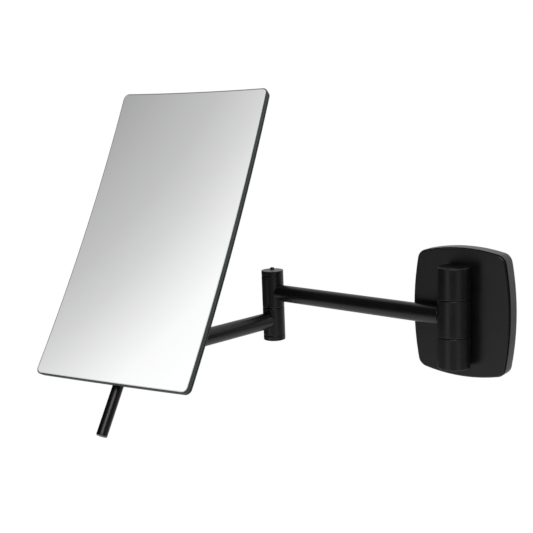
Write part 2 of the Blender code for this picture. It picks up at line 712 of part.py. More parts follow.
def make_outer_arm(arm):
    """Everything that turns about the elbow: its lower half, the tube, and the head's barrel."""
    top = ELBOW_SEAM - GAP / 2
    foot = ELBOW_FOOT_SEAM + GAP / 2
    recess = top - WASHER_RECESS
    washer = 6.1 * MM
    profile = [
        (ELBOW_RADIUS, top),
        (ELBOW_RADIUS, foot),
        (ELBOW_NUT_RECESS, foot),
        (ELBOW_NUT_RECESS, ELBOW_NUT_SEAT),
        (BUSH_HOLE, ELBOW_NUT_SEAT),
        (BUSH_HOLE, recess),
        (washer + GAP, recess),
        (washer + GAP, top),
    ]
    lower = turned("elbow_lower_barrel", profile, arm, "black paint")
    add_spigot(lower, "outer_arm_near_spigot", ELBOW_RADIUS, 1, -ARM_STEP, arm)
    low, high = ELBOW_NUT_SEAT + GAP, recess - GAP
    ring("elbow_bush", AXLE_HOLE, BUSH_RADIUS, low, high, arm, "nylon", sides=SMALL)
    ring("elbow_washer", AXLE_HOLE, washer, top - WASHER, top, arm, "nylon", sides=SMALL)
    cap_top = ELBOW_FOOT_SEAM - GAP / 2
    plug = ELBOW_NUT_RECESS - GAP
    profile = [
        (0, cap_top + ELBOW_FOOT_PLUG),
        (plug, cap_top + ELBOW_FOOT_PLUG),
        (plug, cap_top),
        (ELBOW_RADIUS, cap_top),
        (ELBOW_RADIUS, ELBOW_BOTTOM + ELBOW_CAP_EDGE),
        (ELBOW_RADIUS - ELBOW_CAP_EDGE, ELBOW_BOTTOM),
        (0, ELBOW_BOTTOM),
    ]
    turned("elbow_foot_cap", profile, arm, "black paint")
    make_tube("outer_arm_tube", ELBOW_RADIUS, OUTER_ARM, HEAD_RADIUS, -ARM_STEP, arm)

    head = (OUTER_ARM, 0, -ARM_STEP)
    hole = HEAD_AXLE_RADIUS + GAP
    bush = hole + HEAD_BUSH_WALL
    barrel = ring(
        "head_barrel", bush + GAP, HEAD_RADIUS, -HEAD_HALF, HEAD_HALF, arm, "black paint", head
    )
    add_spigot(barrel, "outer_arm_far_spigot", HEAD_RADIUS, -1, -ARM_STEP, arm, OUTER_ARM)
    half = HEAD_HALF - GAP
    ring("head_bush", hole, bush, -half, half, arm, "nylon", head, SMALL)


# ---------------------------------------------------------------- head


def make_head(head):
    """The fork that swivels on the outer arm, its axle, and the washers either side."""
    hole = HEAD_AXLE_RADIUS + GAP
    outline = arc((0, 0), HEAD_RADIUS, math.pi / 2, 3 * math.pi / 2, SMALL)
    outline += [(BRIDGE_FRONT, -HEAD_RADIUS), (BRIDGE_FRONT, HEAD_RADIUS)]
    fork = slab("head_fork", [outline], -LUG_HIGH, LUG_HIGH, head, "black paint")
    reach = HEAD_RADIUS + PAST
    cut(fork, box("fork_gap", (-reach, -reach, -LUG_LOW), (BRIDGE_BACK, reach, LUG_LOW), head))
    neck = box(
        "fork_neck",
        (BRIDGE_FRONT - PAST, -TONGUE_HALF, -NECK_HALF),
        (TILT_OFFSET, TONGUE_HALF, NECK_HALF),
        head,
    )
    left, right = (TILT_OFFSET, -TONGUE_HALF, 0), (TILT_OFFSET, TONGUE_HALF, 0)
    join(fork, neck, bar("fork_tongue", left, right, TONGUE_RADIUS, head))
    left, right = (TILT_OFFSET, -THROUGH, 0), (TILT_OFFSET, THROUGH, 0)
    cut(
        fork,
        upright_bar("fork_axle_hole", (0, 0), -THROUGH, THROUGH, hole, head),
        bar("fork_tilt_hole", left, right, TILT_AXLE_RADIUS + GAP, head),
    )
    seat = LUG_HIGH + GAP
    end = seat + HEAD_NUT_HEIGHT
    pin = axle("head_axle", HEAD_AXLE_RADIUS, HEAD_AXLE_HEAD, 2.0 * MM, seat + end, head)
    pin.data.transform(Matrix.Translation((0, 0, seat)))
    nut("head_nut", hole, HEAD_NUT_RADIUS, -end, -seat, head)
    near = HEAD_HALF + GAP
    for name, side in (("top", 1), ("bottom", -1)):
        low, high = sorted((side * near, side * (near + WASHER)))
        radius = HEAD_RADIUS - 0.5 * MM
        ring(f"head_washer_{name}", hole, radius, low, high, head, "nylon", sides=SMALL)


def make_tilt_joint(tilt):
    """The axle that the mirror tips about, with its nut and friction washers."""
    hole = TILT_AXLE_RADIUS + GAP
    seat = EAR_FAR + GAP
    end = seat + TILT_NUT_HEIGHT
    pin = axle("tilt_axle", TILT_AXLE_RADIUS, TILT_AXLE_HEAD, 1.8 * MM, seat + end, tilt)
    lay(pin, (0, 1, 0), (0, seat, 0))
    nut("tilt_nut", hole, TILT_NUT_RADIUS, -end, -seat, tilt, turn=(0, 1, 0))
    near = TONGUE_HALF + GAP
    for name, side in (("right", 1), ("left", -1)):
        low, high = sorted((side * near, side * (near + WASHER)))
        radius = TONGUE_RADIUS - 0.2 * MM
        washer = ring(
            f"tilt_washer_{name}", hole, radius, low, high, tilt, "nylon", sides=SMALL
        )
        lay(washer, (0, 1, 0))


# ---------------------------------------------------------------- mirror


def make_hub(tilt):
    """The plate on the mirror's back: two ears for the tilt axle and a boss for the handle."""
    hub = box(
        "mirror_hub",
        (HUB_BACK, -HUB_HALF_WIDTH, HUB_BOTTOM),
        (HUB_FRONT, HUB_HALF_WIDTH, HUB_TOP),
        tilt,
        "black paint",
    )
    for number, side in enumerate((1, -1), 1):
        near, far = sorted((side * EAR_NEAR, side * EAR_FAR))
        ear = bar(f"hub_ear_{number}", (0, near, 0), (0, far, 0), EAR_RADIUS, tilt, sides=ROUND)
        low, high = (0, near, -WEB_HALF), (HUB_BACK + PAST, far, WEB_HALF)
        join(hub, ear, box(f"hub_web_{number}", low, high, tilt))
    low, high = (BOSS_BACK, -BOSS_HALF, BOSS_BOTTOM), (HUB_FRONT, BOSS_HALF, BOSS_TOP)
    join(hub, box("hub_boss", low, high, tilt))
    place = (HANDLE_OFFSET, 0)
    pin_top = HANDLE_PIN_TOP + GAP
    cut(
        hub,
        bar("hub_axle_hole", (0, -THROUGH, 0), (0, THROUGH, 0), TILT_AXLE_RADIUS + GAP, tilt),
        upright_bar("hub_handle_hole", place, -THROUGH, pin_top, HANDLE_PIN + GAP, tilt),
    )
    for number, (y, z) in enumerate(hub_screw_places(), 1):
        start, end = (HUB_BACK - PAST, y, z), (HUB_FRONT + PAST, y, z)
        cut(hub, bar(f"hub_screw_hole_{number}", start, end, HUB_SCREW_HOLE, tilt))
        seat = (HUB_BACK - GAP, y, z)
        socket_screw(f"hub_screw_{number}", HUB_SCREW, tilt, (-1, 0, 0), seat, TINY)


def hub_screw_places():
    """Where the hub's four screws are, as y and z in the tilt frame."""
    side = HUB_HALF_WIDTH - 3.5 * MM
    high, low = HUB_TOP - 5.0 * MM, HUB_BOTTOM + 4.0 * MM
    return [(side, high), (-side, high), (-side, low), (side, low)]


def make_handle(tilt):
    """The straight rod under the glass that is held to turn and tip it."""
    profile = [
        (0, HANDLE_PIN_TOP),
        (HANDLE_PIN, HANDLE_PIN_TOP),
        (HANDLE_PIN, HANDLE_TOP),
        (HANDLE_RADIUS - HANDLE_EDGE, HANDLE_TOP),
        (HANDLE_RADIUS, HANDLE_TOP - HANDLE_EDGE),
        (HANDLE_RADIUS, HANDLE_END + HANDLE_EDGE),
        (HANDLE_RADIUS - HANDLE_EDGE, HANDLE_END),
        (0, HANDLE_END),
    ]
    turned("handle_rod", profile, tilt, "black paint", (HANDLE_OFFSET, 0, 0))


def dished_sheet(name, inset, corner, behind, thickness, frame, look, cells=(6, 10)):
    """A sheet bent to the mirror's sphere, with its front face so far behind the reflecting one
    and its edges so far inside the glass's."""
    width, height = MIRROR_WIDTH - 2 * inset, MIRROR_HEIGHT - 2 * inset
    shape = bmesh.new()
    bmesh.ops.create_grid(shape, x_segments=cells[0], y_segments=cells[1], size=0.5)
    radius = DISH_RADIUS + behind
    spare = 4 * MM
    for vertex in shape.verts:
        x = vertex.co.x * (width + spare)
        y = vertex.co.y * (height + spare)
        vertex.co = (x, y, DISH_RADIUS - math.sqrt(radius * radius - x * x - y * y))
    sheet = add_object(name, mesh_of(name, shape), frame, look)
    solidify = sheet.modifiers.new("Thickness", "SOLIDIFY")
    solidify.thickness = thickness
    solidify.offset = -1
    outline = rounded_outline(width, height, corner)
    combine(sheet, slab(name + "_blank", [outline], -THROUGH, THROUGH, frame), "INTERSECT")
    return sheet


def make_mirror(face, tilt):
    dished_sheet("mirror_glass", 0, MIRROR_CORNER, 0, GLASS, face, "mirror")
    pad_front = GLASS + GAP
    dished_sheet("glass_pad", PAD_INSET, PAD_CORNER, pad_front, PAD, face, "foam")
    shell_front = pad_front + PAD + GAP
    shell = dished_sheet(
        "mirror_shell", SHELL_INSET, MIRROR_CORNER, shell_front, SHELL, face, "black plastic"
    )
    for number, (y, z) in enumerate(hub_screw_places(), 1):
        start, end = (HANDLE_OFFSET, y, z), (HUB_TO_GLASS, y, z)
        cut(shell, bar(f"shell_hole_{number}", start, end, HUB_SCREW_HOLE, tilt, sides=TINY))


# ---------------------------------------------------------------- assembly


def main():
    # The wall frame: x to the right, y up and z out of the wall.
    wall = add_empty("wall_plane", turn=(math.pi / 2, 0, 0))
    knuckle_place = (0, -KNUCKLE_FROM_WALL, -KNUCKLE_DROP)
    knuckle = add_empty("knuckle_frame", place=knuckle_place)
    inner = add_empty(
        "wall_swivel_axis", place=knuckle_place, turn=(0, 0, math.radians(INNER_ARM_DIRECTION))
    )
    outer = add_empty(
        "elbow_swivel_axis",
        inner,
        (INNER_ARM, 0, 0),
        (0, 0, math.radians(OUTER_ARM_DIRECTION - INNER_ARM_DIRECTION)),
    )
    head = add_empty(
        "head_swivel_axis",
        outer,
        (OUTER_ARM, 0, -ARM_STEP),
        (0, 0, math.radians(MIRROR_DIRECTION - OUTER_ARM_DIRECTION)),
    )
    tilt = add_empty("mirror_tilt_axis", head, (TILT_OFFSET, 0, 0), (0, math.radians(-HUB_TILT), 0))
    # The glass's own frame: x to the right, y up the glass and z out of its middle.
    lean = math.asin(MIRROR_RISE / DISH_RADIUS)
    face = add_empty("glass_frame", tilt)
    rise = HUB_TO_GLASS + DISH_RADIUS * (1 - math.cos(lean))
    axes = Matrix(((0, 0, 1, 0), (1, 0, 0, 0), (0, 1, 0, 0), (0, 0, 0, 1)))
    face.matrix_local = (
        Matrix.Translation((rise, 0, MIRROR_RISE)) @ Matrix.Rotation(lean, 4, "Y") @ axes
    )

    make_wall_bracket(wall)
    make_wall_band(wall)
    make_wall_plate(wall)
    make_plate_fasteners(wall)
    make_knuckle(knuckle, wall)
    make_inner_arm(inner)
    make_outer_arm(outer)
    make_head(head)
    make_tilt_joint(tilt)
    make_hub(tilt)
    make_handle(tilt)
    make_mirror(face, tilt)
    bpy.context.view_layer.update()


clear_scene()
PARTS = new_collection("extendable_shaving_mirror")
CUTTERS = new_collection("cutters")
main()
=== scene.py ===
"""Looks for the wall-mounted shaving mirror: fine meshes, finishes, light and camera.

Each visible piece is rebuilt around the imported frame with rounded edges, in the same frames as the
part's joints: +X runs along an arm and +Z is up.  In the tilt frame +X points out of the glass at
the hub, +Y is to the right for someone looking into the glass, and +Z runs up its back.
"""

import json
import math

import bmesh
import bpy
from mathutils import Matrix, Vector


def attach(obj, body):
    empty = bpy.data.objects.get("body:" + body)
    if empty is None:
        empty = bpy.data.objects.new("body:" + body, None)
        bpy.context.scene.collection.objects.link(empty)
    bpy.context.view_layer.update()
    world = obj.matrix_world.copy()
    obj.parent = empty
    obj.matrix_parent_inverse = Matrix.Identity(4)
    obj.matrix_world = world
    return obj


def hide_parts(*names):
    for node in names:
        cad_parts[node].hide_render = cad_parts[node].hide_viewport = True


MM = 0.001
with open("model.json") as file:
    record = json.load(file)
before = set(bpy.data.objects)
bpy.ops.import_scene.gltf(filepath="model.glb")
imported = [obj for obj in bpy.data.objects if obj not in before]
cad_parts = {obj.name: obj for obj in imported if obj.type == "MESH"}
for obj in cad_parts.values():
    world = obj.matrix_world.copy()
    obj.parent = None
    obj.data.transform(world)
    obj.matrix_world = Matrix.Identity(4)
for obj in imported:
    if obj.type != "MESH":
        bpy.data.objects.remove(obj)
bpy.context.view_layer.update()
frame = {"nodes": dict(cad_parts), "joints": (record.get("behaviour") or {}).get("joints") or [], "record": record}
joints = {joint["name"]: joint for joint in frame["joints"]}

# ---------------------------------------------------------------- sizes

GAP = 0.3 * MM
FINE_GAP = 0.06 * MM  # just enough to keep two faces apart
SIDES = 96  # round barrels and tubes
SMALL_SIDES = 48  # round pins, nuts and screws
SOFT_STEPS = 4  # steps round a softened edge
SOFT_SHARE = 0.45  # the most of a line that one softened corner takes
STRAIGHT_STEPS = 8  # steps along the straight sides of a lug or an ear
DROP_STEPS = 64  # steps round the end of a lug or an ear
CORNER_STEPS = 10  # steps round the corner of a rounded rectangle

# Wall plate: depths are from the wall, and each side bows out by its bulge.
PLATE_WIDTH = 67.0 * MM
PLATE_HEIGHT = 84.0 * MM
PLATE_DEPTH = 10.6 * MM
PLATE_SIDE_BULGE = 2.9 * MM
PLATE_END_BULGE = 2.8 * MM
PLATE_CORNER = 6.9 * MM
PLATE_SIDE_STEPS = 30
PLATE_CORNER_STEPS = 14
PLATE_ROUNDING = 0.6 * MM  # of the front plate's edge
PLATE_BACK = 6.8 * MM  # to the back of the front plate, inside the band
PLATE_LIP = 0.8 * MM  # thickness of the front plate where it shows
LIP_INSET = 0.7 * MM  # the front plate's edge lies this far inside the band's
BAND_DEPTH = 9.2 * MM
BAND_WALL = 2.6 * MM
BAND_EDGE = 0.25 * MM
RELIEF_PAST = 1.0 * MM  # the plate is cut away this far past the knuckle's turning section

# Arms, knuckle and elbow: heights are from the joint's own place.
TUBE_RADIUS = 6.0 * MM
TUBE_BORE = 4.5 * MM
TUBE_LIP = 0.55 * MM  # rounding of a tube's ends
KNUCKLE_RADIUS = 10.4 * MM
KNUCKLE_HALF = 32.3 * MM
KNUCKLE_SEAM = 12.0 * MM
KNUCKLE_FLAT = 8.5 * MM  # from the axis to the flat backs of the fixed sections
KNUCKLE_FLAT_SHARE = 0.2  # the flat moves in by this share of an edge's rounding
ELBOW_RADIUS = 8.0 * MM
ELBOW_TOP = 16.4 * MM
ELBOW_CAP_SEAM = 13.0 * MM
ELBOW_SEAM = -10.7 * MM
ELBOW_FOOT_SEAM = -31.6 * MM
ELBOW_BOTTOM = -35.3 * MM
ELBOW_HEAD_SEAT = 9.0 * MM
ELBOW_HEAD_RECESS = 5.3 * MM
ELBOW_NUT_SEAT = -26.0 * MM
ELBOW_NUT_RECESS = 6.0 * MM
ELBOW_WASHER_RECESS = (6.4 * MM, 0.9 * MM)  # radius and depth
ELBOW_FOOT_PLUG = (5.7 * MM, 0.7 * MM)  # radius and height
AXLE_HOLE = 3.3 * MM
BUSH_HOLE = 4.6 * MM
CAP_PIN_RADIUS = 1.7 * MM
CAP_PIN_RISE = 1.3 * MM
CAP_PIN_PLACE = (3.0 * MM, -3.35 * MM, 0)  # from the elbow's axis
CAP_PIN_FLAT = 0.65  # radius of its flat top, as a share of its own
CAP_PIN_SHOULDER = 0.3  # height of its shoulder, as a share of its rise
CAP_PIN_EDGE = 0.35 * MM
ELBOW_CAP_EDGE = 0.3 * MM
ELBOW_FOOT_EDGE = 0.4 * MM
SEAM = 0.15 * MM  # each side of a seam stands back this far
SEAM_EDGE = 0.5 * MM

# Head and tilt joint: lugs and bridge are placed from the swivel axis, ears, hub and boss from
# the tilt axis.
HEAD_RADIUS = 7.0 * MM
HEAD_HALF = 6.5 * MM
HEAD_HOLE = 4.1 * MM
HEAD_EDGE = 0.3 * MM
HEAD_WASHER_RADIUS = 6.5 * MM
WASHER = 0.6 * MM
WASHER_EDGE = 0.12 * MM
LUG_LOW = 7.7 * MM  # lower and upper face of the upper lug
LUG_HIGH = 10.2 * MM
BRIDGE_BACK = 7.35 * MM
BRIDGE_FRONT = 9.6 * MM
BRIDGE_CORNER = 0.7 * MM
LUG_END = BRIDGE_FRONT - 0.4 * MM
LUG_HALF = HEAD_RADIUS - 0.01 * MM  # just under the radius, so that the sides run on smoothly
LUG_EDGE = 0.45 * MM
HEAD_AXLE = (2.5 * MM, 4.5 * MM, 2.0 * MM)  # shank radius, head radius and head height
HEAD_NUT = (4.6 * MM, 3.2 * MM)  # radius and height
TILT_OFFSET = 14.5 * MM  # from the swivel axis to the tilt axis
TILT_AXLE = (2.0 * MM, 3.6 * MM, 1.8 * MM)
TILT_NUT = (3.9 * MM, 2.4 * MM)
TILT_WASHER_RADIUS = 3.8 * MM
AXLE_EDGE = 0.45 * MM
NUT_CHAMFER = 0.3 * MM
NUT_FLAT = 0.9  # radius of a nut's flat faces, as a share of its corners'
TONGUE_HALF = 4.0 * MM
TONGUE_RADIUS = 4.0 * MM
TONGUE_NECK = 3.6 * MM  # half its height where it meets the bridge
TONGUE_SINK = 0.6 * MM  # how far the tongue runs into the bridge
TONGUE_EDGE = 0.35 * MM
EAR_NEAR = 5.2 * MM  # an ear's inner face, from the middle of the hub
EAR_FAR = 8.0 * MM
EAR_RADIUS = 4.4 * MM
EAR_HALF = 4.0 * MM
EAR_SINK = 0.8 * MM  # how far the ears run into the hub plate
EAR_EDGE = 0.4 * MM
HUB_BACK = 7.4 * MM  # the hub plate's back and front, from the tilt axis forward
HUB_FRONT = 9.4 * MM
HUB_HALF_WIDTH = 14.0 * MM
HUB_BOTTOM = -16.0 * MM
HUB_TOP = 26.0 * MM
HUB_CORNER = 4.0 * MM
HUB_EDGE = 0.5 * MM
HUB_SCREW = (1.2 * MM, 2.3 * MM, 1.4 * MM, 4.0 * MM)  # shank and head radii, head, length
HUB_SCREW_INSET = (3.5 * MM, 5.0 * MM, 4.0 * MM)  # from the sides, the top and the bottom
SOCKET_WIDTH = 0.8  # as a share of the shank's radius
SOCKET_DEPTH = 0.5  # as a share of the head's height
SCREW_EDGE = 0.25 * MM
BOSS_DEPTH = 7.9 * MM
BOSS_WIDTH = 11.0 * MM
BOSS_MIDDLE = 5.45 * MM  # from the tilt axis forward
BOSS_BOTTOM = -17.0 * MM
BOSS_TOP = -8.0 * MM
BOSS_CORNER = 2.0 * MM
BOSS_EDGE = 0.6 * MM

# Mirror: depths are behind the reflecting face, and heights are from the tilt axis.
MIRROR_WIDTH = 117.2 * MM
MIRROR_HEIGHT = 208.8 * MM
MIRROR_CORNER = 4.0 * MM
DISH_RADIUS = 1300.0 * MM
MIRROR_RISE = 82.1 * MM  # up to the glass's centre
HUB_TO_GLASS = 15.2 * MM  # from the tilt axis to the reflecting face
HUB_TILT = math.radians(36.2)  # how far the hub's face leans back at rest
GLASS = 3.0 * MM
GLASS_CHAMFER = 1.25 * MM
BEVEL_KNEE = (0.6, 0.1)  # where its two facets meet: in from the edge and back, as shares of it
BEVEL_DEPTH = 0.6  # how far back it ends on the side, as a share of it
FINE_EDGE = 0.3 * MM  # rounding of the glass's back edge and of the shell's edges
DISH_RINGS = 24  # rings from the rim of a dished face to its middle
SMOOTH_ANGLE = math.radians(35)  # sharper edges stay sharp
SHELL_FRONT = 3.05 * MM
SHELL_BACK = 5.5 * MM
PAD_FLOOR = 4.0 * MM
SHELL_RIM = 9.4 * MM  # width of the shell's rim round the pad's recess
SHELL_INSET = 0.2 * MM
HANDLE_RADIUS = 3.5 * MM
HANDLE_OFFSET = 5.0 * MM  # from the tilt axis forward to the handle's axis
HANDLE_TOP = -17.3 * MM
HANDLE_END = -53.0 * MM
HANDLE_EDGE = 0.6 * MM
HANDLE_PIN = 2.0 * MM
HANDLE_PIN_TOP = -9.5 * MM


# ---------------------------------------------------------------- frames


def frame_at(place, along, up):
    """A frame at place whose +X is along and whose +Z is nearest to up."""
    x = Vector(along).normalized()
    y = Vector(up).cross(x).normalized()
    z = x.cross(y)
    matrix = Matrix((x, y, z)).transposed().to_4x4()
    return Matrix.Translation(place) @ matrix


def level(start, end):
    """The direction from start to end, kept horizontal."""
    way = Vector(end) - Vector(start)
    way.z = 0
    return way


UP = (0, 0, 1)
KNUCKLE_AT, ELBOW_AT, HEAD_AT, TILT_AT = (
    Vector(joints[name]["pos_m"])
    for name in ("wall_swivel", "elbow_swivel", "head_swivel", "mirror_tilt")
)
SIDE_TURN = Matrix(((1, 0, 0, 0), (0, 0, -1, 0), (0, 1, 0, 0), (0, 0, 0, 1)))  # +Z to -Y
OUTWARD_TURN = Matrix(((0, 0, 1, 0), (1, 0, 0, 0), (0, 1, 0, 0), (0, 0, 0, 1)))  # +Z to +X
WALL = SIDE_TURN  # the outline stands upright and its depth runs out of the wall
KNUCKLE = Matrix.Translation(KNUCKLE_AT)
INNER = frame_at(KNUCKLE_AT, level(KNUCKLE_AT, ELBOW_AT), UP)
OUTER = frame_at(ELBOW_AT, level(ELBOW_AT, HEAD_AT), UP)
HEAD = frame_at(HEAD_AT, level(HEAD_AT, TILT_AT), UP)
TILT = frame_at(TILT_AT, level(HEAD_AT, TILT_AT), UP) @ Matrix.Rotation(-HUB_TILT, 4, "Y")
INNER_ARM = level(KNUCKLE_AT, ELBOW_AT).length
OUTER_ARM = level(ELBOW_AT, HEAD_AT).length
ARM_STEP = ELBOW_AT.z - HEAD_AT.z
LEAN = math.asin(MIRROR_RISE / DISH_RADIUS)
FACE = (
    TILT
    @ Matrix.Translation((HUB_TO_GLASS + DISH_RADIUS * (1 - math.cos(LEAN)), 0, MIRROR_RISE))
    @ Matrix.Rotation(LEAN, 4, "Y")
    @ OUTWARD_TURN
)


# ---------------------------------------------------------------- finishes


NOISE_RANGE = (0.3, 0.7)


def link(tree, source, target):
    tree.links.new(source, target)


def noise(tree, coordinates, scale, detail=3.0, stretch=None):
    """A noise texture in the object's own metres; stretch scales its three directions."""
    if stretch:
        mapping = tree.nodes.new("ShaderNodeMapping")
        mapping.inputs["Scale"].default_value = stretch
        link(tree, coordinates, mapping.inputs["Vector"])
        coordinates = mapping.outputs["Vector"]
    texture = tree.nodes.new("ShaderNodeTexNoise")
    texture.inputs["Scale"].default_value = scale
    texture.inputs["Detail"].default_value = detail
    link(tree, coordinates, texture.inputs["Vector"])
    return texture.outputs["Fac"]


def mapped(tree, value, source, target, curve="LINEAR"):
    """The value mapped from the source range to the target range."""
    node = tree.nodes.new("ShaderNodeMapRange")
    node.interpolation_type = curve
    node.inputs["From Min"].default_value, node.inputs["From Max"].default_value = source
    node.inputs["To Min"].default_value, node.inputs["To Max"].default_value = target
    link(tree, value, node.inputs["Value"])
    return node.outputs["Result"]


def spread(tree, value, low, high):
    """The middle of a noise's range mapped to low to high."""
    return mapped(tree, value, NOISE_RANGE, (low, high))


def computed(tree, operation, *values):
    """A math node's result.  Each value is a number or the output of another node."""
    node = tree.nodes.new("ShaderNodeMath")
    node.operation = operation
    for socket, value in zip(node.inputs, values):
        if isinstance(value, float):
            socket.default_value = value
        else:
            link(tree, value, socket)
    return node.outputs[0]


def two_tones(tree, value, dark, pale):
    node = tree.nodes.new("ShaderNodeMix")
    node.data_type = "RGBA"
    node.inputs[6].default_value = (*dark, 1)
    node.inputs[7].default_value = (*pale, 1)
    link(tree, value, node.inputs[0])
    return node.outputs[2]


def bumped(tree, shader, height, strength, distance):
    node = tree.nodes.new("ShaderNodeBump")
    node.inputs["Strength"].default_value = strength
    node.inputs["Distance"].default_value = distance
    link(tree, height, node.inputs["Height"])
    link(tree, node.outputs["Normal"], shader.inputs["Normal"])


def new_finish(name, metallic=0.0, **settings):
    """A material with its tree, its shader and the object's own coordinates."""
    material = bpy.data.materials.new(name)
    material.use_nodes = True
    tree = material.node_tree
    shader = tree.nodes["Principled BSDF"]
    shader.inputs["Metallic"].default_value = metallic
    for socket, value in settings.items():
        shader.inputs[socket.replace("_", " ")].default_value = value
    coordinates = tree.nodes.new("ShaderNodeTexCoord").outputs["Object"]
    return material, tree, shader, coordinates


def paint(name, tone, roughness, grain, bump):
    """Satin black powder coat: a fine orange peel, with slow changes of sheen over it."""
    material, tree, shader, place = new_finish(name, IOR=1.5)
    peel = noise(tree, place, grain, 2.0)
    sheen = noise(tree, place, 90.0, 4.0)
    link(tree, spread(tree, sheen, *roughness), shader.inputs["Roughness"])
    dark = [0.8 * part for part in tone]
    link(tree, two_tones(tree, sheen, dark, tone), shader.inputs["Base Color"])
    bumped(tree, shader, peel, bump, 0.02 * MM)
    return material


def silvering():
    material, tree, shader, place = new_finish("mirror_silver", 1.0)
    haze = noise(tree, place, 35.0, 5.0)
    link(tree, spread(tree, haze, 0.0, 0.012), shader.inputs["Roughness"])
    tint = two_tones(tree, haze, (0.955, 0.957, 0.962), (0.965, 0.967, 0.972))
    link(tree, tint, shader.inputs["Base Color"])
    return material


def ground_glass():
    """The sawn and ground side of the glass: grey-green, with fine lengthwise grinding marks."""
    material, tree, shader, place = new_finish("glass_edge", IOR=1.52, Specular_IOR_Level=0.2)
    marks = noise(tree, place, 900.0, 3.0, (1, 1, 0.2))
    cloud = noise(tree, place, 40.0, 2.0)
    link(tree, spread(tree, marks, 0.40, 0.55), shader.inputs["Roughness"])
    tint = two_tones(tree, cloud, (0.050, 0.062, 0.058), (0.085, 0.100, 0.094))
    link(tree, tint, shader.inputs["Base Color"])
    bumped(tree, shader, marks, 0.15, 0.02 * MM)
    return material


def polished_glass():
    material, tree, shader, place = new_finish("glass_bevel", 1.0)
    cloud = noise(tree, place, 120.0, 2.0)
    link(tree, spread(tree, cloud, 0.12, 0.20), shader.inputs["Roughness"])
    tint = two_tones(tree, cloud, (0.58, 0.60, 0.60), (0.66, 0.68, 0.68))
    link(tree, tint, shader.inputs["Base Color"])
    return material


def steel(name, roughness):
    material, tree, shader, place = new_finish(name, 1.0)
    lines = noise(tree, place, 1500.0, 3.0, (1, 1, 4))
    stain = noise(tree, place, 120.0, 3.0)
    link(tree, spread(tree, lines, *roughness), shader.inputs["Roughness"])
    tint = two_tones(tree, stain, (0.50, 0.50, 0.51), (0.64, 0.64, 0.65))
    link(tree, tint, shader.inputs["Base Color"])
    bumped(tree, shader, lines, 0.12, 0.02 * MM)
    return material


def nylon():
    material, tree, shader, place = new_finish("nylon_moulded", Subsurface_Weight=0.15)
    shader.inputs["Subsurface Radius"].default_value = (0.001, 0.0009, 0.0007)
    grain = noise(tree, place, 700.0, 3.0)
    link(tree, spread(tree, grain, 0.42, 0.58), shader.inputs["Roughness"])
    tint = two_tones(tree, grain, (0.74, 0.73, 0.68), (0.82, 0.81, 0.77))
    link(tree, tint, shader.inputs["Base Color"])
    bumped(tree, shader, grain, 0.1, 0.03 * MM)
    return material


def foam():
    material, tree, shader, place = new_finish("foam_cells")
    cells = tree.nodes.new("ShaderNodeTexVoronoi")
    cells.inputs["Scale"].default_value = 1600.0
    link(tree, place, cells.inputs["Vector"])
    shader.inputs["Roughness"].default_value = 0.9
    tint = two_tones(tree, cells.outputs["Distance"], (0.02, 0.02, 0.02), (0.07, 0.07, 0.07))
    link(tree, tint, shader.inputs["Base Color"])
    bumped(tree, shader, cells.outputs["Distance"], 0.6, 0.2 * MM)
    return material


BLACK = paint("black_powder_coat", (0.0050, 0.0050, 0.0052), (0.28, 0.36), 1400.0, 0.10)
SHELL_BLACK = paint("black_moulding", (0.0080, 0.0080, 0.0082), (0.42, 0.52), 900.0, 0.25)
SILVER = silvering()
EDGE = ground_glass()
BEVEL = polished_glass()
STEEL = steel("turned_steel", (0.22, 0.36))
ZINC = steel("zinc_plate", (0.30, 0.45))
NYLON = nylon()
FOAM = foam()
FINISHES = {
    "black_paint": BLACK,
    "black_shell": SHELL_BLACK,
    "mirror_glass": SILVER,
    "steel": STEEL,
    "nylon": NYLON,
    "foam_pad": FOAM,
}


# ---------------------------------------------------------------- meshes


def object_from(shape, name):
    """A linked object with the shape's mesh; the shape is freed."""
    mesh = bpy.data.meshes.new(name)
    shape.to_mesh(mesh)
    shape.free()
    obj = bpy.data.objects.new(name, mesh)
    bpy.context.scene.collection.objects.link(obj)
    return obj


def finish_mesh(shape, name, matrix, materials, body, replaced, weighted=True):
    """A smooth visible piece that rides on a body and stands in for the replaced nodes."""
    bmesh.ops.recalc_face_normals(shape, faces=shape.faces)
    obj = object_from(shape, name)
    obj.data.transform(matrix)
    obj.data.shade_smooth()
    for material in materials:
        obj.data.materials.append(material)
    if weighted:
        normals = obj.modifiers.new("Normals", "WEIGHTED_NORMAL")
        normals.mode = "FACE_AREA"
        normals.weight = 80
    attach(obj, body)
    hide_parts(*replaced)
    return obj


def skin(rings, closed):
    """A bmesh over rings of points.  A ring of one point is a pole.  Closed joins the last ring
    to the first; otherwise an open ring at either end is filled."""
    shape = bmesh.new()
    rows = [[shape.verts.new(point) for point in ring] for ring in rings]
    pairs = list(zip(rows, rows[1:]))
    if closed:
        pairs.append((rows[-1], rows[0]))
    for first, second in pairs:
        count = max(len(first), len(second))
        for i in range(count):
            j = (i + 1) % count
            corners = [first[i % len(first)], first[j % len(first)]]
            corners += [second[j % len(second)], second[i % len(second)]]
            unique = list(dict.fromkeys(corners))
            shape.faces.new(unique)
    if not closed:
        for row in (rows[0], rows[-1]):
            if len(row) > 2:
                shape.faces.new(row)
    return shape


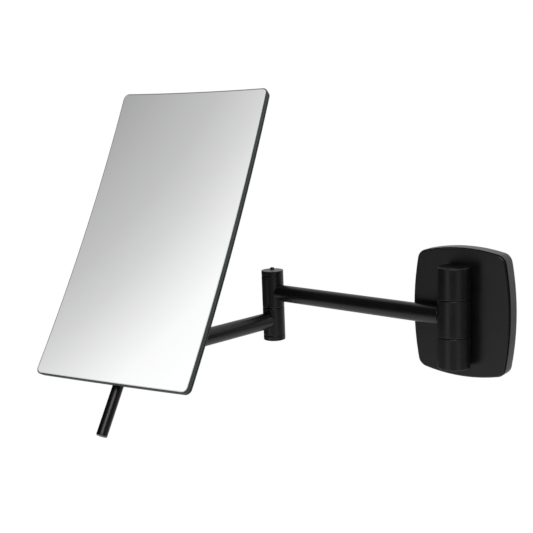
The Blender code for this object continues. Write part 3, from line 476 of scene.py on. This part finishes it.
def softened(points, radius, closed):
    """The same line with each corner rounded, as far as the lengths beside it allow."""
    count = len(points)
    soft = []
    for i, point in enumerate(points):
        if not closed and i in (0, count - 1):
            soft.append(point)
            continue
        here = Vector(point)
        before, after = Vector(points[i - 1]) - here, Vector(points[(i + 1) % count]) - here
        reach = min(radius, SOFT_SHARE * before.length, SOFT_SHARE * after.length)
        start, end = here + before.normalized() * reach, here + after.normalized() * reach
        for step in range(SOFT_STEPS + 1):
            t = step / SOFT_STEPS
            soft.append(tuple(start.lerp(here, t).lerp(here.lerp(end, t), t)))
    return soft


def circle(radius, sides=SMALL_SIDES):
    turns = [2 * math.pi * i / sides for i in range(sides)]
    return [(radius * math.cos(a), radius * math.sin(a)) for a in turns]


def raised(points, height):
    return [(x, y, height) for x, y in points]


def turned(name, profile, edge, matrix, body, replaced, sides=SIDES, slot="black_paint"):
    """A piece turned about the frame's Z axis, from (radius, height) points down its outer side."""
    closed = profile[0][0] > 0
    rings = []
    for radius, height in softened(profile, edge, closed):
        if radius < FINE_GAP:
            rings.append([(0, 0, height)])
        else:
            rings.append(raised(circle(radius, sides), height))
    finish_mesh(skin(rings, closed), name, matrix, [FINISHES[slot]], body, replaced)


def stacked(name, outline, levels, matrix, body, replaced, closed=False):
    """A black piece whose sections are outline(inset), from (inset, height) pairs."""
    rings = [raised(outline(inset), height) for inset, height in levels]
    return finish_mesh(skin(rings, closed), name, matrix, [BLACK], body, replaced)


def tube(name, length, near_radius, far_radius, matrix, body, replaced):
    """A tube along +X whose ends are cut to fit round upright barrels at 0 and at length."""
    near, far = near_radius + FINE_GAP, far_radius + FINE_GAP
    wall = [(TUBE_BORE, 0.0)]
    for step in range(SOFT_STEPS + 1):
        t = math.pi / 2 * step / SOFT_STEPS
        wall.append((TUBE_RADIUS - TUBE_LIP * (1 - math.sin(t)), TUBE_LIP * (1 - math.cos(t))))
    rings = []
    for radius, back in wall:
        around = circle(radius, SIDES)
        rings.append([(math.sqrt(near * near - y * y) + back, y, z) for y, z in around])
    for radius, back in reversed(wall):
        around = circle(radius, SIDES)
        rings.append([(length - math.sqrt(far * far - y * y) - back, y, z) for y, z in around])
    finish_mesh(skin(rings, True), name, matrix, [BLACK], body, replaced)


# ---------------------------------------------------------------- outlines


def arc(centre, radius, start, end, steps):
    angles = [start + (end - start) * i / steps for i in range(steps + 1)]
    return [(centre[0] + radius * math.cos(a), centre[1] + radius * math.sin(a)) for a in angles]


def plate_outline(inset):
    """Four bowed sides between rounded corners, moved in by inset."""
    half_width = PLATE_WIDTH / 2 - PLATE_SIDE_BULGE - PLATE_CORNER
    half_height = PLATE_HEIGHT / 2 - PLATE_END_BULGE - PLATE_CORNER
    corner = PLATE_CORNER - inset
    sides = []
    for reach, half, bulge in (
        (half_width, half_height, PLATE_SIDE_BULGE),
        (half_height, half_width, PLATE_END_BULGE),
    ):
        bow = (half * half + bulge * bulge) / (2 * bulge)
        sides.append((reach, half, bow, reach + bulge - bow, math.asin(half / bow)))
    points = []
    for quarter in range(4):
        facing = quarter * math.pi / 2
        reach, half, bow, back, sweep = sides[quarter % 2]
        next_sweep = sides[(quarter + 1) % 2][-1]
        along, across = math.cos(facing), math.sin(facing)
        middle = (back * along, back * across)
        points += arc(middle, bow + corner, facing - sweep, facing + sweep, PLATE_SIDE_STEPS)
        joint = (reach * along - half * across, reach * across + half * along)
        end = facing + math.pi / 2 - next_sweep
        points += arc(joint, corner, facing + sweep, end, PLATE_CORNER_STEPS)[1:-1]
    return points


def section_outline(inset):
    """The fixed knuckle sections: round, with a flat back towards the wall."""
    radius, flat = KNUCKLE_RADIUS - inset, KNUCKLE_FLAT - KNUCKLE_FLAT_SHARE * inset
    edge = math.asin(min(1.0, flat / radius))
    return arc((0, 0), radius, math.pi - edge, 2 * math.pi + edge, SIDES)


def rounded_outline(width, height, radius, spans=24):
    """A rectangle with rounded corners and evenly divided sides."""
    corners = []
    for quarter, (x, y) in enumerate([(1, 1), (-1, 1), (-1, -1), (1, -1)]):
        centre = (x * (width / 2 - radius), y * (height / 2 - radius))
        start = quarter * math.pi / 2
        corners.append(arc(centre, radius, start, start + math.pi / 2, CORNER_STEPS))
    points = []
    for quarter, corner in enumerate(corners):
        points += corner
        start, end = Vector(corner[-1]), Vector(corners[(quarter + 1) % 4][0])
        points += [tuple(start.lerp(end, i / spans)) for i in range(1, spans)]
    return points


def box_outline(width, height, corner, spans):
    """A rounded rectangle as a function of how far it is moved in."""

    def outline(inset):
        return rounded_outline(width - 2 * inset, height - 2 * inset, corner - inset, spans)

    return outline


def edge_levels(low, high, rounding, steps=SOFT_STEPS, top_only=False):
    """(inset, height) pairs up a wall whose edges are rounded."""
    quarter = [math.pi / 2 * i / steps for i in range(steps + 1)]
    bottom = [(rounding * (1 - math.sin(a)), low + rounding * (1 - math.cos(a))) for a in quarter]
    top = [(rounding * (1 - math.cos(a)), high - rounding * (1 - math.sin(a))) for a in quarter]
    return ([(0, low)] if top_only else bottom) + top


# ---------------------------------------------------------------- wall plate and knuckle


def hollowed(obj, cutter):
    """Cuts a plain closed shape out of a piece for good."""
    tool = object_from(cutter, "cutter")
    normals = obj.modifiers[0]
    normals.show_viewport = False
    cut = obj.modifiers.new("Cut", "BOOLEAN")
    cut.object = tool
    graph = bpy.context.evaluated_depsgraph_get()
    obj.data = bpy.data.meshes.new_from_object(obj.evaluated_get(graph))
    obj.modifiers.remove(cut)
    normals.show_viewport = True
    bpy.data.objects.remove(tool)


def make_wall_side():
    """The side band, and the thin front plate let into it and cut away behind the knuckle."""
    rim = edge_levels(0, BAND_DEPTH, BAND_EDGE)
    levels = rim + [(BAND_WALL, BAND_DEPTH), (BAND_WALL, 0)]
    stacked("plate_side_band", plate_outline, levels, WALL, "wall_mount", ["wall_band"], True)
    low = PLATE_DEPTH - PLATE_LIP
    lip = edge_levels(low, PLATE_DEPTH, PLATE_ROUNDING, 8, top_only=True)
    body = BAND_WALL + SEAM
    levels = [(body, PLATE_BACK), (body, low)]
    levels += [(LIP_INSET + inset, height) for inset, height in lip]
    face = stacked("plate_face", plate_outline, levels, WALL, "wall_mount", ["wall_plate"])
    relief = bmesh.new()
    radius = KNUCKLE_RADIUS + 2 * GAP
    bmesh.ops.create_cone(
        relief, cap_ends=True, segments=SIDES, radius1=radius, radius2=radius,
        depth=2 * (KNUCKLE_SEAM + RELIEF_PAST), matrix=KNUCKLE,
    )
    hollowed(face, relief)


def make_knuckle():
    """Two fixed sections, and the turning one between them that carries the inner arm."""
    walls = edge_levels(KNUCKLE_SEAM + SEAM, KNUCKLE_HALF, SEAM_EDGE)
    for name, side in (("top", 1), ("bottom", -1)):
        stacked(
            f"knuckle_{name}_section", section_outline,
            [(inset, side * height) for inset, height in walls], KNUCKLE, "wall_mount",
            [f"knuckle_{name}", f"knuckle_cap_{name}"],
        )
    half = KNUCKLE_SEAM - SEAM
    profile = [(KNUCKLE_RADIUS, half), (KNUCKLE_RADIUS, -half), (BUSH_HOLE, -half), (BUSH_HOLE, half)]
    turned(
        "knuckle_middle_section", profile, SEAM_EDGE, INNER, "inner_arm", ["inner_arm_barrel"]
    )


# ---------------------------------------------------------------- arms


def make_inner_arm():
    """The inner tube and the upper half of the elbow, with its cap and pin."""
    tube(
        "inner_tube", INNER_ARM, KNUCKLE_RADIUS, ELBOW_RADIUS, INNER, "inner_arm",
        ["inner_arm_tube"],
    )
    elbow = INNER @ Matrix.Translation((INNER_ARM, 0, 0))
    top, bottom = ELBOW_CAP_SEAM - SEAM, ELBOW_SEAM + SEAM
    profile = [
        (ELBOW_RADIUS, top), (ELBOW_RADIUS, bottom), (AXLE_HOLE, bottom),
        (AXLE_HOLE, ELBOW_HEAD_SEAT), (ELBOW_HEAD_RECESS, ELBOW_HEAD_SEAT),
        (ELBOW_HEAD_RECESS, top),
    ]
    turned("elbow_upper", profile, SEAM_EDGE, elbow, "inner_arm", ["elbow_upper_barrel"])
    low = ELBOW_CAP_SEAM + SEAM
    profile = [(0, ELBOW_TOP), (ELBOW_RADIUS, ELBOW_TOP), (ELBOW_RADIUS, low), (0, low)]
    turned("elbow_top_cap", profile, ELBOW_CAP_EDGE, elbow, "inner_arm", ["elbow_cap"])
    pin_top, shoulder = ELBOW_TOP + CAP_PIN_RISE, ELBOW_TOP + CAP_PIN_SHOULDER * CAP_PIN_RISE
    profile = [
        (0, pin_top), (CAP_PIN_FLAT * CAP_PIN_RADIUS, pin_top), (CAP_PIN_RADIUS, shoulder),
        (CAP_PIN_RADIUS, low), (0, low),
    ]
    turned(
        "elbow_pin", profile, CAP_PIN_EDGE, elbow @ Matrix.Translation(CAP_PIN_PLACE),
        "inner_arm", ["elbow_cap_pin"], SMALL_SIDES,
    )


def make_outer_arm():
    """The lower half of the elbow, the outer tube and the barrel at its end."""
    tube(
        "outer_tube", OUTER_ARM, ELBOW_RADIUS, HEAD_RADIUS,
        OUTER @ Matrix.Translation((0, 0, -ARM_STEP)), "outer_arm", ["outer_arm_tube"],
    )
    top, foot = ELBOW_SEAM - SEAM, ELBOW_FOOT_SEAM + SEAM
    wide, depth = ELBOW_WASHER_RECESS
    profile = [
        (ELBOW_RADIUS, top), (ELBOW_RADIUS, foot), (ELBOW_NUT_RECESS, foot),
        (ELBOW_NUT_RECESS, ELBOW_NUT_SEAT), (BUSH_HOLE, ELBOW_NUT_SEAT),
        (BUSH_HOLE, top - depth), (wide, top - depth), (wide, top),
    ]
    turned("elbow_lower", profile, SEAM_EDGE, OUTER, "outer_arm", ["elbow_lower_barrel"])
    top = ELBOW_FOOT_SEAM - SEAM
    plug, rise = ELBOW_FOOT_PLUG
    profile = [
        (0, top + rise), (plug, top + rise), (plug, top), (ELBOW_RADIUS, top),
        (ELBOW_RADIUS, ELBOW_BOTTOM), (0, ELBOW_BOTTOM),
    ]
    turned("elbow_foot", profile, ELBOW_FOOT_EDGE, OUTER, "outer_arm", ["elbow_foot_cap"])
    end = OUTER @ Matrix.Translation((OUTER_ARM, 0, -ARM_STEP))
    profile = [
        (HEAD_RADIUS, HEAD_HALF), (HEAD_RADIUS, -HEAD_HALF), (HEAD_HOLE, -HEAD_HALF),
        (HEAD_HOLE, HEAD_HALF),
    ]
    turned("head_end_barrel", profile, HEAD_EDGE, end, "outer_arm", ["head_barrel"])


# ---------------------------------------------------------------- head and tilt joint


def drop_outline(radius, reach, half):
    """A round end about the origin that runs on to a straight end at x = reach."""

    def outline(inset=0.0):
        r, end, side = radius - inset, reach - inset, half - inset
        start = math.asin(min(1.0, side / r))
        points = arc((0, 0), r, start, 2 * math.pi - start, DROP_STEPS)
        corners = [Vector(points[-1]), Vector((end, -side)), Vector((end, side)), Vector(points[0])]
        for first, second in zip(corners, corners[1:]):
            shares = [i / STRAIGHT_STEPS for i in range(1, STRAIGHT_STEPS + 1)]
            points += [tuple(first.lerp(second, share)) for share in shares]
        return points[:-1]

    return outline


def pierced(name, outline, hole, low, high, rounding, matrix, body, replaced):
    """A black plate with rounded edges and a round hole about the origin."""
    rings = [raised(outline(inset), at) for inset, at in edge_levels(low, high, rounding)]
    around = [tuple(Vector(point).normalized() * hole) for point in outline()]
    rings += [raised(around, high), raised(around, low)]
    finish_mesh(skin(rings, True), name, matrix, [BLACK], body, [replaced])


def hexagon(radius):
    """Points on a hexagon at even angles, with its corners at radius."""
    points = []
    for i in range(SMALL_SIDES):
        a = 2 * math.pi * i / SMALL_SIDES
        off = (a + math.pi / 6) % (math.pi / 3) - math.pi / 6
        reach = radius * math.cos(math.pi / 6) / math.cos(math.pi / 6 - abs(off))
        points.append((reach * math.cos(a), reach * math.sin(a)))
    return points


def at_heights(*rows):
    return [raised(points, height) for points, height in rows]


def hex_nut(name, hole, size, low, matrix, body, replaced):
    """A hexagon nut whose corners are chamfered at both faces."""
    radius, height = size
    high, flat = low + height, NUT_FLAT * radius
    rings = at_heights(
        (circle(hole), high), (circle(flat), high), (hexagon(radius), high - NUT_CHAMFER),
        (hexagon(radius), low + NUT_CHAMFER), (circle(flat), low), (circle(hole), low),
    )
    finish_mesh(skin(rings, True), name, matrix, [ZINC], body, [replaced])


def headed_axle(name, size, length, matrix, body, replaced):
    """An axle that hangs down from a flat head standing on z = 0."""
    radius, head_radius, head = size
    profile = [
        (0, head), (head_radius, head), (head_radius, 0), (radius, 0), (radius, -length),
        (0, -length),
    ]
    turned(name, profile, AXLE_EDGE, matrix, body, [replaced], SMALL_SIDES, "steel")


def socket_head(name, size, matrix, body, replaced):
    """A cap screw with a hexagon socket, its head standing on z = 0."""
    radius, head_radius, head, length = size
    socket, floor = hexagon(SOCKET_WIDTH * radius), SOCKET_DEPTH * head
    rings = at_heights(
        ([(0, 0)], floor), (socket, floor), (socket, head),
        (circle(head_radius - SCREW_EDGE), head), (circle(head_radius), head - SCREW_EDGE),
        (circle(head_radius), 0), (circle(radius), 0), (circle(radius), -length),
        ([(0, 0)], -length),
    )
    finish_mesh(skin(rings, False), name, matrix, [STEEL], body, [replaced])


def friction_washer(name, hole, radius, low, matrix, body, replaced):
    high = low + WASHER
    profile = [(radius, high), (radius, low), (hole, low), (hole, high)]
    turned(name, profile, WASHER_EDGE, matrix, body, [replaced], SMALL_SIDES, "nylon")


def make_head():
    """The fork round the outer arm's end, with its axle, nut and washers."""
    hole = HEAD_AXLE[0] + GAP
    lug = drop_outline(HEAD_RADIUS, LUG_END, LUG_HALF)
    for name, low in (("fork_upper_lug", LUG_LOW), ("fork_lower_lug", -LUG_HIGH)):
        high = low + LUG_HIGH - LUG_LOW
        pierced(name, lug, hole, low, high, LUG_EDGE, HEAD, "head", "head_fork")
    bridge = box_outline(BRIDGE_FRONT - BRIDGE_BACK, 2 * HEAD_RADIUS, BRIDGE_CORNER, 4)
    levels = edge_levels(-LUG_HIGH, LUG_HIGH, LUG_EDGE)
    middle = HEAD @ Matrix.Translation(((BRIDGE_BACK + BRIDGE_FRONT) / 2, 0, 0))
    stacked("fork_bridge", bridge, levels, middle, "head", ["head_fork"])
    across = HEAD @ Matrix.Translation((TILT_OFFSET, 0, 0)) @ SIDE_TURN
    tongue = drop_outline(TONGUE_RADIUS, TILT_OFFSET - BRIDGE_FRONT + TONGUE_SINK, TONGUE_NECK)
    pierced(
        "fork_tongue", tongue, TILT_AXLE[0] + GAP, -TONGUE_HALF, TONGUE_HALF, TONGUE_EDGE,
        across @ Matrix.Rotation(math.pi, 4, "Z"), "head", "head_fork",
    )
    seat = LUG_HIGH + GAP
    end = seat + HEAD_NUT[1]
    top = HEAD @ Matrix.Translation((0, 0, seat))
    headed_axle("head_pivot", HEAD_AXLE, seat + end, top, "head", "head_axle")
    hex_nut("head_pivot_nut", hole, HEAD_NUT, -end, HEAD, "head", "head_nut")
    for side, low in (("top", HEAD_HALF + GAP), ("bottom", -HEAD_HALF - GAP - WASHER)):
        friction_washer(
            f"head_slip_{side}", hole, HEAD_WASHER_RADIUS, low, HEAD, "head",
            f"head_washer_{side}",
        )


def make_hub():
    """The hub on the mirror's back: its plate, its ears, the handle's boss and four screws."""
    ear = drop_outline(EAR_RADIUS, HUB_BACK + EAR_SINK, EAR_HALF)
    hole, across = TILT_AXLE[0] + GAP, TILT @ SIDE_TURN
    for name, low in (("hub_ear_left", EAR_NEAR), ("hub_ear_right", -EAR_FAR)):
        high = low + EAR_FAR - EAR_NEAR
        pierced(name, ear, hole, low, high, EAR_EDGE, across, "mirror", "mirror_hub")
    plate = box_outline(2 * HUB_HALF_WIDTH, HUB_TOP - HUB_BOTTOM, HUB_CORNER, 8)
    levels = edge_levels(HUB_BACK, HUB_FRONT, HUB_EDGE)
    middle = TILT @ Matrix.Translation((0, 0, (HUB_TOP + HUB_BOTTOM) / 2)) @ OUTWARD_TURN
    stacked("hub_plate", plate, levels, middle, "mirror", ["mirror_hub"])
    boss = box_outline(BOSS_DEPTH, BOSS_WIDTH, BOSS_CORNER, 4)
    levels = edge_levels(BOSS_BOTTOM, BOSS_TOP, BOSS_EDGE)
    place = TILT @ Matrix.Translation((BOSS_MIDDLE, 0, 0))
    stacked("handle_boss", boss, levels, place, "mirror", ["mirror_hub"])
    side_inset, top_inset, bottom_inset = HUB_SCREW_INSET
    side, high, low = HUB_HALF_WIDTH - side_inset, HUB_TOP - top_inset, HUB_BOTTOM + bottom_inset
    turn = Matrix.Rotation(-math.pi / 2, 4, "Y")
    for number, (y, z) in enumerate([(side, high), (-side, high), (-side, low), (side, low)], 1):
        seat = TILT @ Matrix.Translation((HUB_BACK - FINE_GAP, y, z))
        socket_head(
            f"hub_socket_screw_{number}", HUB_SCREW, seat @ turn, "mirror", f"hub_screw_{number}"
        )


def make_tilt_axle():
    """The level axle through the hub's ears and the fork's tongue, with its nut and washers."""
    hole = TILT_AXLE[0] + GAP
    rightward = TILT @ Matrix.Rotation(-math.pi / 2, 4, "X")
    seat = EAR_FAR + GAP
    end = seat + TILT_NUT[1]
    head = rightward @ Matrix.Translation((0, 0, seat))
    headed_axle("tilt_pivot", TILT_AXLE, seat + end, head, "mirror", "tilt_axle")
    hex_nut("tilt_pivot_nut", hole, TILT_NUT, -end, rightward, "mirror", "tilt_nut")
    near = TONGUE_HALF + GAP
    for side, low in (("right", near), ("left", -near - WASHER)):
        friction_washer(
            f"tilt_slip_{side}", hole, TILT_WASHER_RADIUS, low, rightward, "mirror",
            f"tilt_washer_{side}",
        )


# ---------------------------------------------------------------- mirror


def dish_height(x, y, behind):
    radius = DISH_RADIUS + behind
    return DISH_RADIUS - math.sqrt(radius * radius - x * x - y * y)


def dished(name, inset, corner, rim, materials, node):
    """A sheet on the mirror's sphere.  Its rim is a line of (distance in from the edge, distance
    behind the face, material) that runs from the front round to the back."""

    def ring(inwards, depth):
        width, height = MIRROR_WIDTH - 2 * (inset + inwards), MIRROR_HEIGHT - 2 * (inset + inwards)
        outline = rounded_outline(width, height, max(corner - inwards, FINE_EDGE))
        return [(x, y, dish_height(x, y, depth)) for x, y in outline]

    def filled(inwards, depth):
        rows = []
        for step in range(1, DISH_RINGS):
            share = 1 - step / DISH_RINGS
            row = [(x * share, y * share) for x, y, _ in ring(inwards, depth)]
            rows.append([(x, y, dish_height(x, y, depth)) for x, y in row])
        return rows + [[(0, 0, dish_height(0, 0, depth))]]

    walls = [ring(inwards, depth) for inwards, depth, _ in rim]
    front, back = filled(*rim[0][:2]), filled(*rim[-1][:2])
    shape = skin(front[::-1] + walls + back, False)
    shape.faces.index_update()
    bands = [0] * len(front) + [material for _, _, material in rim[1:]]
    for face in shape.faces:
        band = face.index // len(walls[0])
        face.material_index = bands[band] if band < len(bands) else rim[-1][2]
    for edge in shape.edges:
        sides = {face.material_index for face in edge.link_faces}
        edge.smooth = len(sides) == 1 and edge.calc_face_angle(0) < SMOOTH_ANGLE
    obj = finish_mesh(shape, name, FACE, materials, "mirror", [node], weighted=False)
    bowl = FACE @ Vector((0, 0, DISH_RADIUS))
    mesh = obj.data
    custom = [Vector((0, 0, 0))] * len(mesh.loops)
    silvered = materials[0] is SILVER  # its reflections need the exact normals of the sphere
    for face in mesh.polygons:
        if silvered and face.material_index == 0:
            for loop in face.loop_indices:
                place = mesh.vertices[mesh.loops[loop].vertex_index].co
                custom[loop] = (bowl - place).normalized()
    mesh.normals_split_custom_set(custom)


def make_mirror():
    """The bevelled glass, the tray-shaped shell behind it and the handle rod."""
    knee_in, knee_back = (share * GLASS_CHAMFER for share in BEVEL_KNEE)
    rim = [
        (GLASS_CHAMFER, 0, 0), (knee_in, knee_back, 1), (0, BEVEL_DEPTH * GLASS_CHAMFER, 2),
        (0, GLASS - FINE_EDGE, 2), (FINE_EDGE, GLASS, 2),
    ]
    materials = [SILVER, BEVEL, EDGE]
    dished("mirror_pane", 0, MIRROR_CORNER, rim, materials, "mirror_glass")
    edge = FINE_EDGE
    rim = [
        (SHELL_RIM, PAD_FLOOR, 0), (SHELL_RIM - edge, SHELL_FRONT, 0), (edge, SHELL_FRONT, 0),
        (0, SHELL_FRONT + edge, 0), (0, SHELL_BACK - 2 * edge, 0), (2 * edge, SHELL_BACK, 0),
    ]
    dished(
        "mirror_back_shell", SHELL_INSET, MIRROR_CORNER, rim, [SHELL_BLACK],
        "mirror_shell",
    )
    handle = TILT @ Matrix.Translation((HANDLE_OFFSET, 0, 0))
    profile = [
        (0, HANDLE_PIN_TOP), (HANDLE_PIN, HANDLE_PIN_TOP), (HANDLE_PIN, HANDLE_TOP),
        (HANDLE_RADIUS, HANDLE_TOP), (HANDLE_RADIUS, HANDLE_END), (0, HANDLE_END),
    ]
    turned("tilt_handle", profile, HANDLE_EDGE, handle, "mirror", ["handle_rod"], SMALL_SIDES)


# ---------------------------------------------------------------- CAD nodes that stay


def finish_cad_nodes():
    slots = {part["node"]: part["material_slot"] for part in frame["record"]["subparts"]}
    for name, node in frame["nodes"].items():
        finish = FINISHES[slots[name]]
        if finish is STEEL and any(word in name for word in ("nut", "washer", "bracket")):
            finish = ZINC
        node.data.materials.clear()
        node.data.materials.append(finish)


# ---------------------------------------------------------------- stage, light and camera


FLOOR_RADIUS = 1.3
FLOOR_PLACE = (0, -0.1, -0.5)
FLOOR_GLOW = (0.3, 1.1)  # for the object and for the camera


def make_stage():
    """A round white floor that looks as bright as the backdrop."""
    shape = bmesh.new()
    bmesh.ops.create_circle(shape, cap_ends=True, segments=SIDES, radius=FLOOR_RADIUS)
    floor = object_from(shape, "floor")
    floor.location = FLOOR_PLACE
    material = bpy.data.materials.new("floor_white")
    material.use_nodes = True
    tree = material.node_tree
    shader = tree.nodes["Principled BSDF"]
    shader.inputs["Base Color"].default_value = (0.8, 0.8, 0.8, 1)
    shader.inputs["Roughness"].default_value = 0.9
    shader.inputs["Emission Color"].default_value = (1, 1, 1, 1)
    camera_ray = tree.nodes.new("ShaderNodeLightPath").outputs["Is Camera Ray"]
    glow = mapped(tree, camera_ray, (0, 1), FLOOR_GLOW)
    link(tree, glow, shader.inputs["Emission Strength"])
    floor.data.materials.append(material)


SKY_DIM = 0.045
BACK_GLOW = 0.72
BACK_RISE = 0.6  # how much of a direction's height counts as backwards
BACK_RANGE = (0.15, 1.1)
GLOWS = [  # direction, tightness and strength
    ((-0.28, -0.93, -0.20), 40.0, 0.80),
    ((0.82, -0.50, -0.25), 40.0, 0.55),
]


def make_world():
    """White for the camera; for the object, a bright backdrop, a dim room and two soft glows."""
    world = bpy.data.worlds.new("studio")
    bpy.context.scene.world = world
    world.use_nodes = True
    tree = world.node_tree
    tree.nodes.clear()
    direction = tree.nodes.new("ShaderNodeTexCoord").outputs["Generated"]
    split = tree.nodes.new("ShaderNodeSeparateXYZ")
    link(tree, direction, split.inputs[0])
    back = computed(tree, "MULTIPLY_ADD", split.outputs["Z"], BACK_RISE, split.outputs["Y"])
    total = mapped(tree, back, BACK_RANGE, (SKY_DIM, BACK_GLOW), "SMOOTHSTEP")
    for place, tightness, strength in GLOWS:
        dot = tree.nodes.new("ShaderNodeVectorMath")
        dot.operation = "DOT_PRODUCT"
        dot.inputs[1].default_value = Vector(place).normalized()
        link(tree, direction, dot.inputs[0])
        facing = computed(tree, "MAXIMUM", dot.outputs["Value"], 0.0)
        lobe = computed(tree, "POWER", facing, tightness)
        total = computed(tree, "MULTIPLY_ADD", lobe, strength, total)
    room = tree.nodes.new("ShaderNodeBackground")
    room.inputs["Color"].default_value = (1, 1, 1, 1)
    link(tree, total, room.inputs["Strength"])
    white = tree.nodes.new("ShaderNodeBackground")
    white.inputs["Color"].default_value = (1, 1, 1, 1)
    rays = tree.nodes.new("ShaderNodeLightPath")
    mix = tree.nodes.new("ShaderNodeMixShader")
    link(tree, rays.outputs["Is Camera Ray"], mix.inputs[0])
    link(tree, room.outputs[0], mix.inputs[1])
    link(tree, white.outputs[0], mix.inputs[2])
    output = tree.nodes.new("ShaderNodeOutputWorld")
    link(tree, mix.outputs[0], output.inputs["Surface"])


SOFTBOX_WAY = (0.35, -0.55, 0.75)
SOFTBOX_TARGET = (-0.08, -0.08, 0.0)
SOFTBOX_DISTANCE = 1.3
SOFTBOX_SIZE = (1.0, 0.8)
SOFTBOX_POWER = 10.0


def make_softbox():
    """One large soft light, above and in front of the object."""
    data = bpy.data.lights.new("key", "AREA")
    data.shape = "RECTANGLE"
    data.size, data.size_y = SOFTBOX_SIZE
    data.energy = SOFTBOX_POWER
    light = bpy.data.objects.new("key", data)
    way = Vector(SOFTBOX_WAY).normalized()
    light.location = Vector(SOFTBOX_TARGET) + way * SOFTBOX_DISTANCE
    light.rotation_euler = way.to_track_quat("Z", "Y").to_euler()
    light.visible_camera = False
    bpy.context.scene.collection.objects.link(light)


CARD_DISTANCE = 0.42  # from the centre of the glass, along the reflected view
CARD_SIZE = 0.9
CARD_STRENGTH = 1.05
CARD_SLOPE = (3.25, -2.50)  # how fast the grading runs across the card and up it
CARD_MIDDLE = 0.5
CARD_TONES = [  # place along the grading, and tone
    (0.25, 0.390), (0.34, 0.468), (0.43, 0.537), (0.52, 0.652), (0.61, 0.810), (0.69, 0.950),
    (0.78, 0.990),
]


def card_finish():
    """An even glow, graded across the card and up it."""
    material = bpy.data.materials.new("card_white")
    material.use_nodes = True
    tree = material.node_tree
    tree.nodes.clear()
    split = tree.nodes.new("ShaderNodeSeparateXYZ")
    link(tree, tree.nodes.new("ShaderNodeTexCoord").outputs["Object"], split.inputs[0])
    across, rising = CARD_SLOPE
    place = computed(tree, "MULTIPLY_ADD", split.outputs["X"], across, CARD_MIDDLE)
    place = computed(tree, "MULTIPLY_ADD", split.outputs["Y"], rising, place)
    ramp = tree.nodes.new("ShaderNodeValToRGB")
    stops = ramp.color_ramp.elements
    for index, (stop, tone) in enumerate(CARD_TONES):
        element = stops[0] if index == 0 else stops.new(stop)
        element.position = stop
        element.color = (tone, tone, tone, 1)
    link(tree, place, ramp.inputs[0])
    glow = tree.nodes.new("ShaderNodeEmission")
    glow.inputs["Strength"].default_value = CARD_STRENGTH
    link(tree, ramp.outputs[0], glow.inputs["Color"])
    output = tree.nodes.new("ShaderNodeOutputMaterial")
    link(tree, glow.outputs[0], output.inputs["Surface"])
    return material


def make_mirror_card(camera_place):
    """A graded white card that only the glass sees, where the camera's view of it reflects to."""
    centre = FACE.to_translation()
    normal = (FACE.to_3x3() @ Vector((0, 0, 1))).normalized()
    to_camera = (camera_place - centre).normalized()
    way = (2 * normal.dot(to_camera) * normal - to_camera).normalized()
    right = (FACE.to_3x3() @ Vector((1, 0, 0))).normalized()
    across = (right - right.dot(way) * way).normalized()
    shape = bmesh.new()
    bmesh.ops.create_grid(shape, x_segments=1, y_segments=1, size=0.5)
    card = object_from(shape, "mirror_card")
    turn = Matrix((across, way.cross(across), way)).transposed().to_4x4()
    card.matrix_world = Matrix.Translation(centre + way * CARD_DISTANCE) @ turn
    card.scale = (CARD_SIZE, CARD_SIZE, 1)
    card.data.materials.append(card_finish())
    card.visible_camera = False
    card.visible_diffuse = False
    card.visible_shadow = False
    card.visible_transmission = False
    receivers = bpy.data.collections.new("card_receivers")
    receivers.objects.link(bpy.data.objects["mirror_pane"])
    card.light_linking.receiver_collection = receivers


CAMERA_PLACE = Vector((0.26025, -0.54500, 0.13650))
CAMERA_AZIMUTH = math.radians(37.814)
CAMERA_PITCH = math.radians(9.936)
CAMERA_ROLL = math.radians(-2.129)
CAMERA_LENS = 63.278


def make_camera():
    data = bpy.data.cameras.new("camera")
    data.lens = CAMERA_LENS
    data.sensor_width = 36
    camera = bpy.data.objects.new("camera", data)
    azimuth, pitch = CAMERA_AZIMUTH, CAMERA_PITCH
    back = Vector(
        (
            math.sin(azimuth) * math.cos(pitch),
            -math.cos(azimuth) * math.cos(pitch),
            math.sin(pitch),
        )
    )
    level_right = Vector((math.cos(azimuth), math.sin(azimuth), 0))
    upright = back.cross(level_right)
    right = math.cos(CAMERA_ROLL) * level_right + math.sin(CAMERA_ROLL) * upright
    up = -math.sin(CAMERA_ROLL) * level_right + math.cos(CAMERA_ROLL) * upright
    turn = Matrix((right, up, back)).transposed().to_4x4()
    camera.matrix_world = Matrix.Translation(CAMERA_PLACE) @ turn
    bpy.context.scene.collection.objects.link(camera)
    bpy.context.scene.camera = camera


make_camera()
make_wall_side()
make_knuckle()
make_inner_arm()
make_outer_arm()
make_head()
make_hub()
make_tilt_axle()
make_mirror()
finish_cad_nodes()
make_stage()
make_world()
make_softbox()
make_mirror_card(CAMERA_PLACE)
bpy.context.scene.view_settings.view_transform = "Standard"
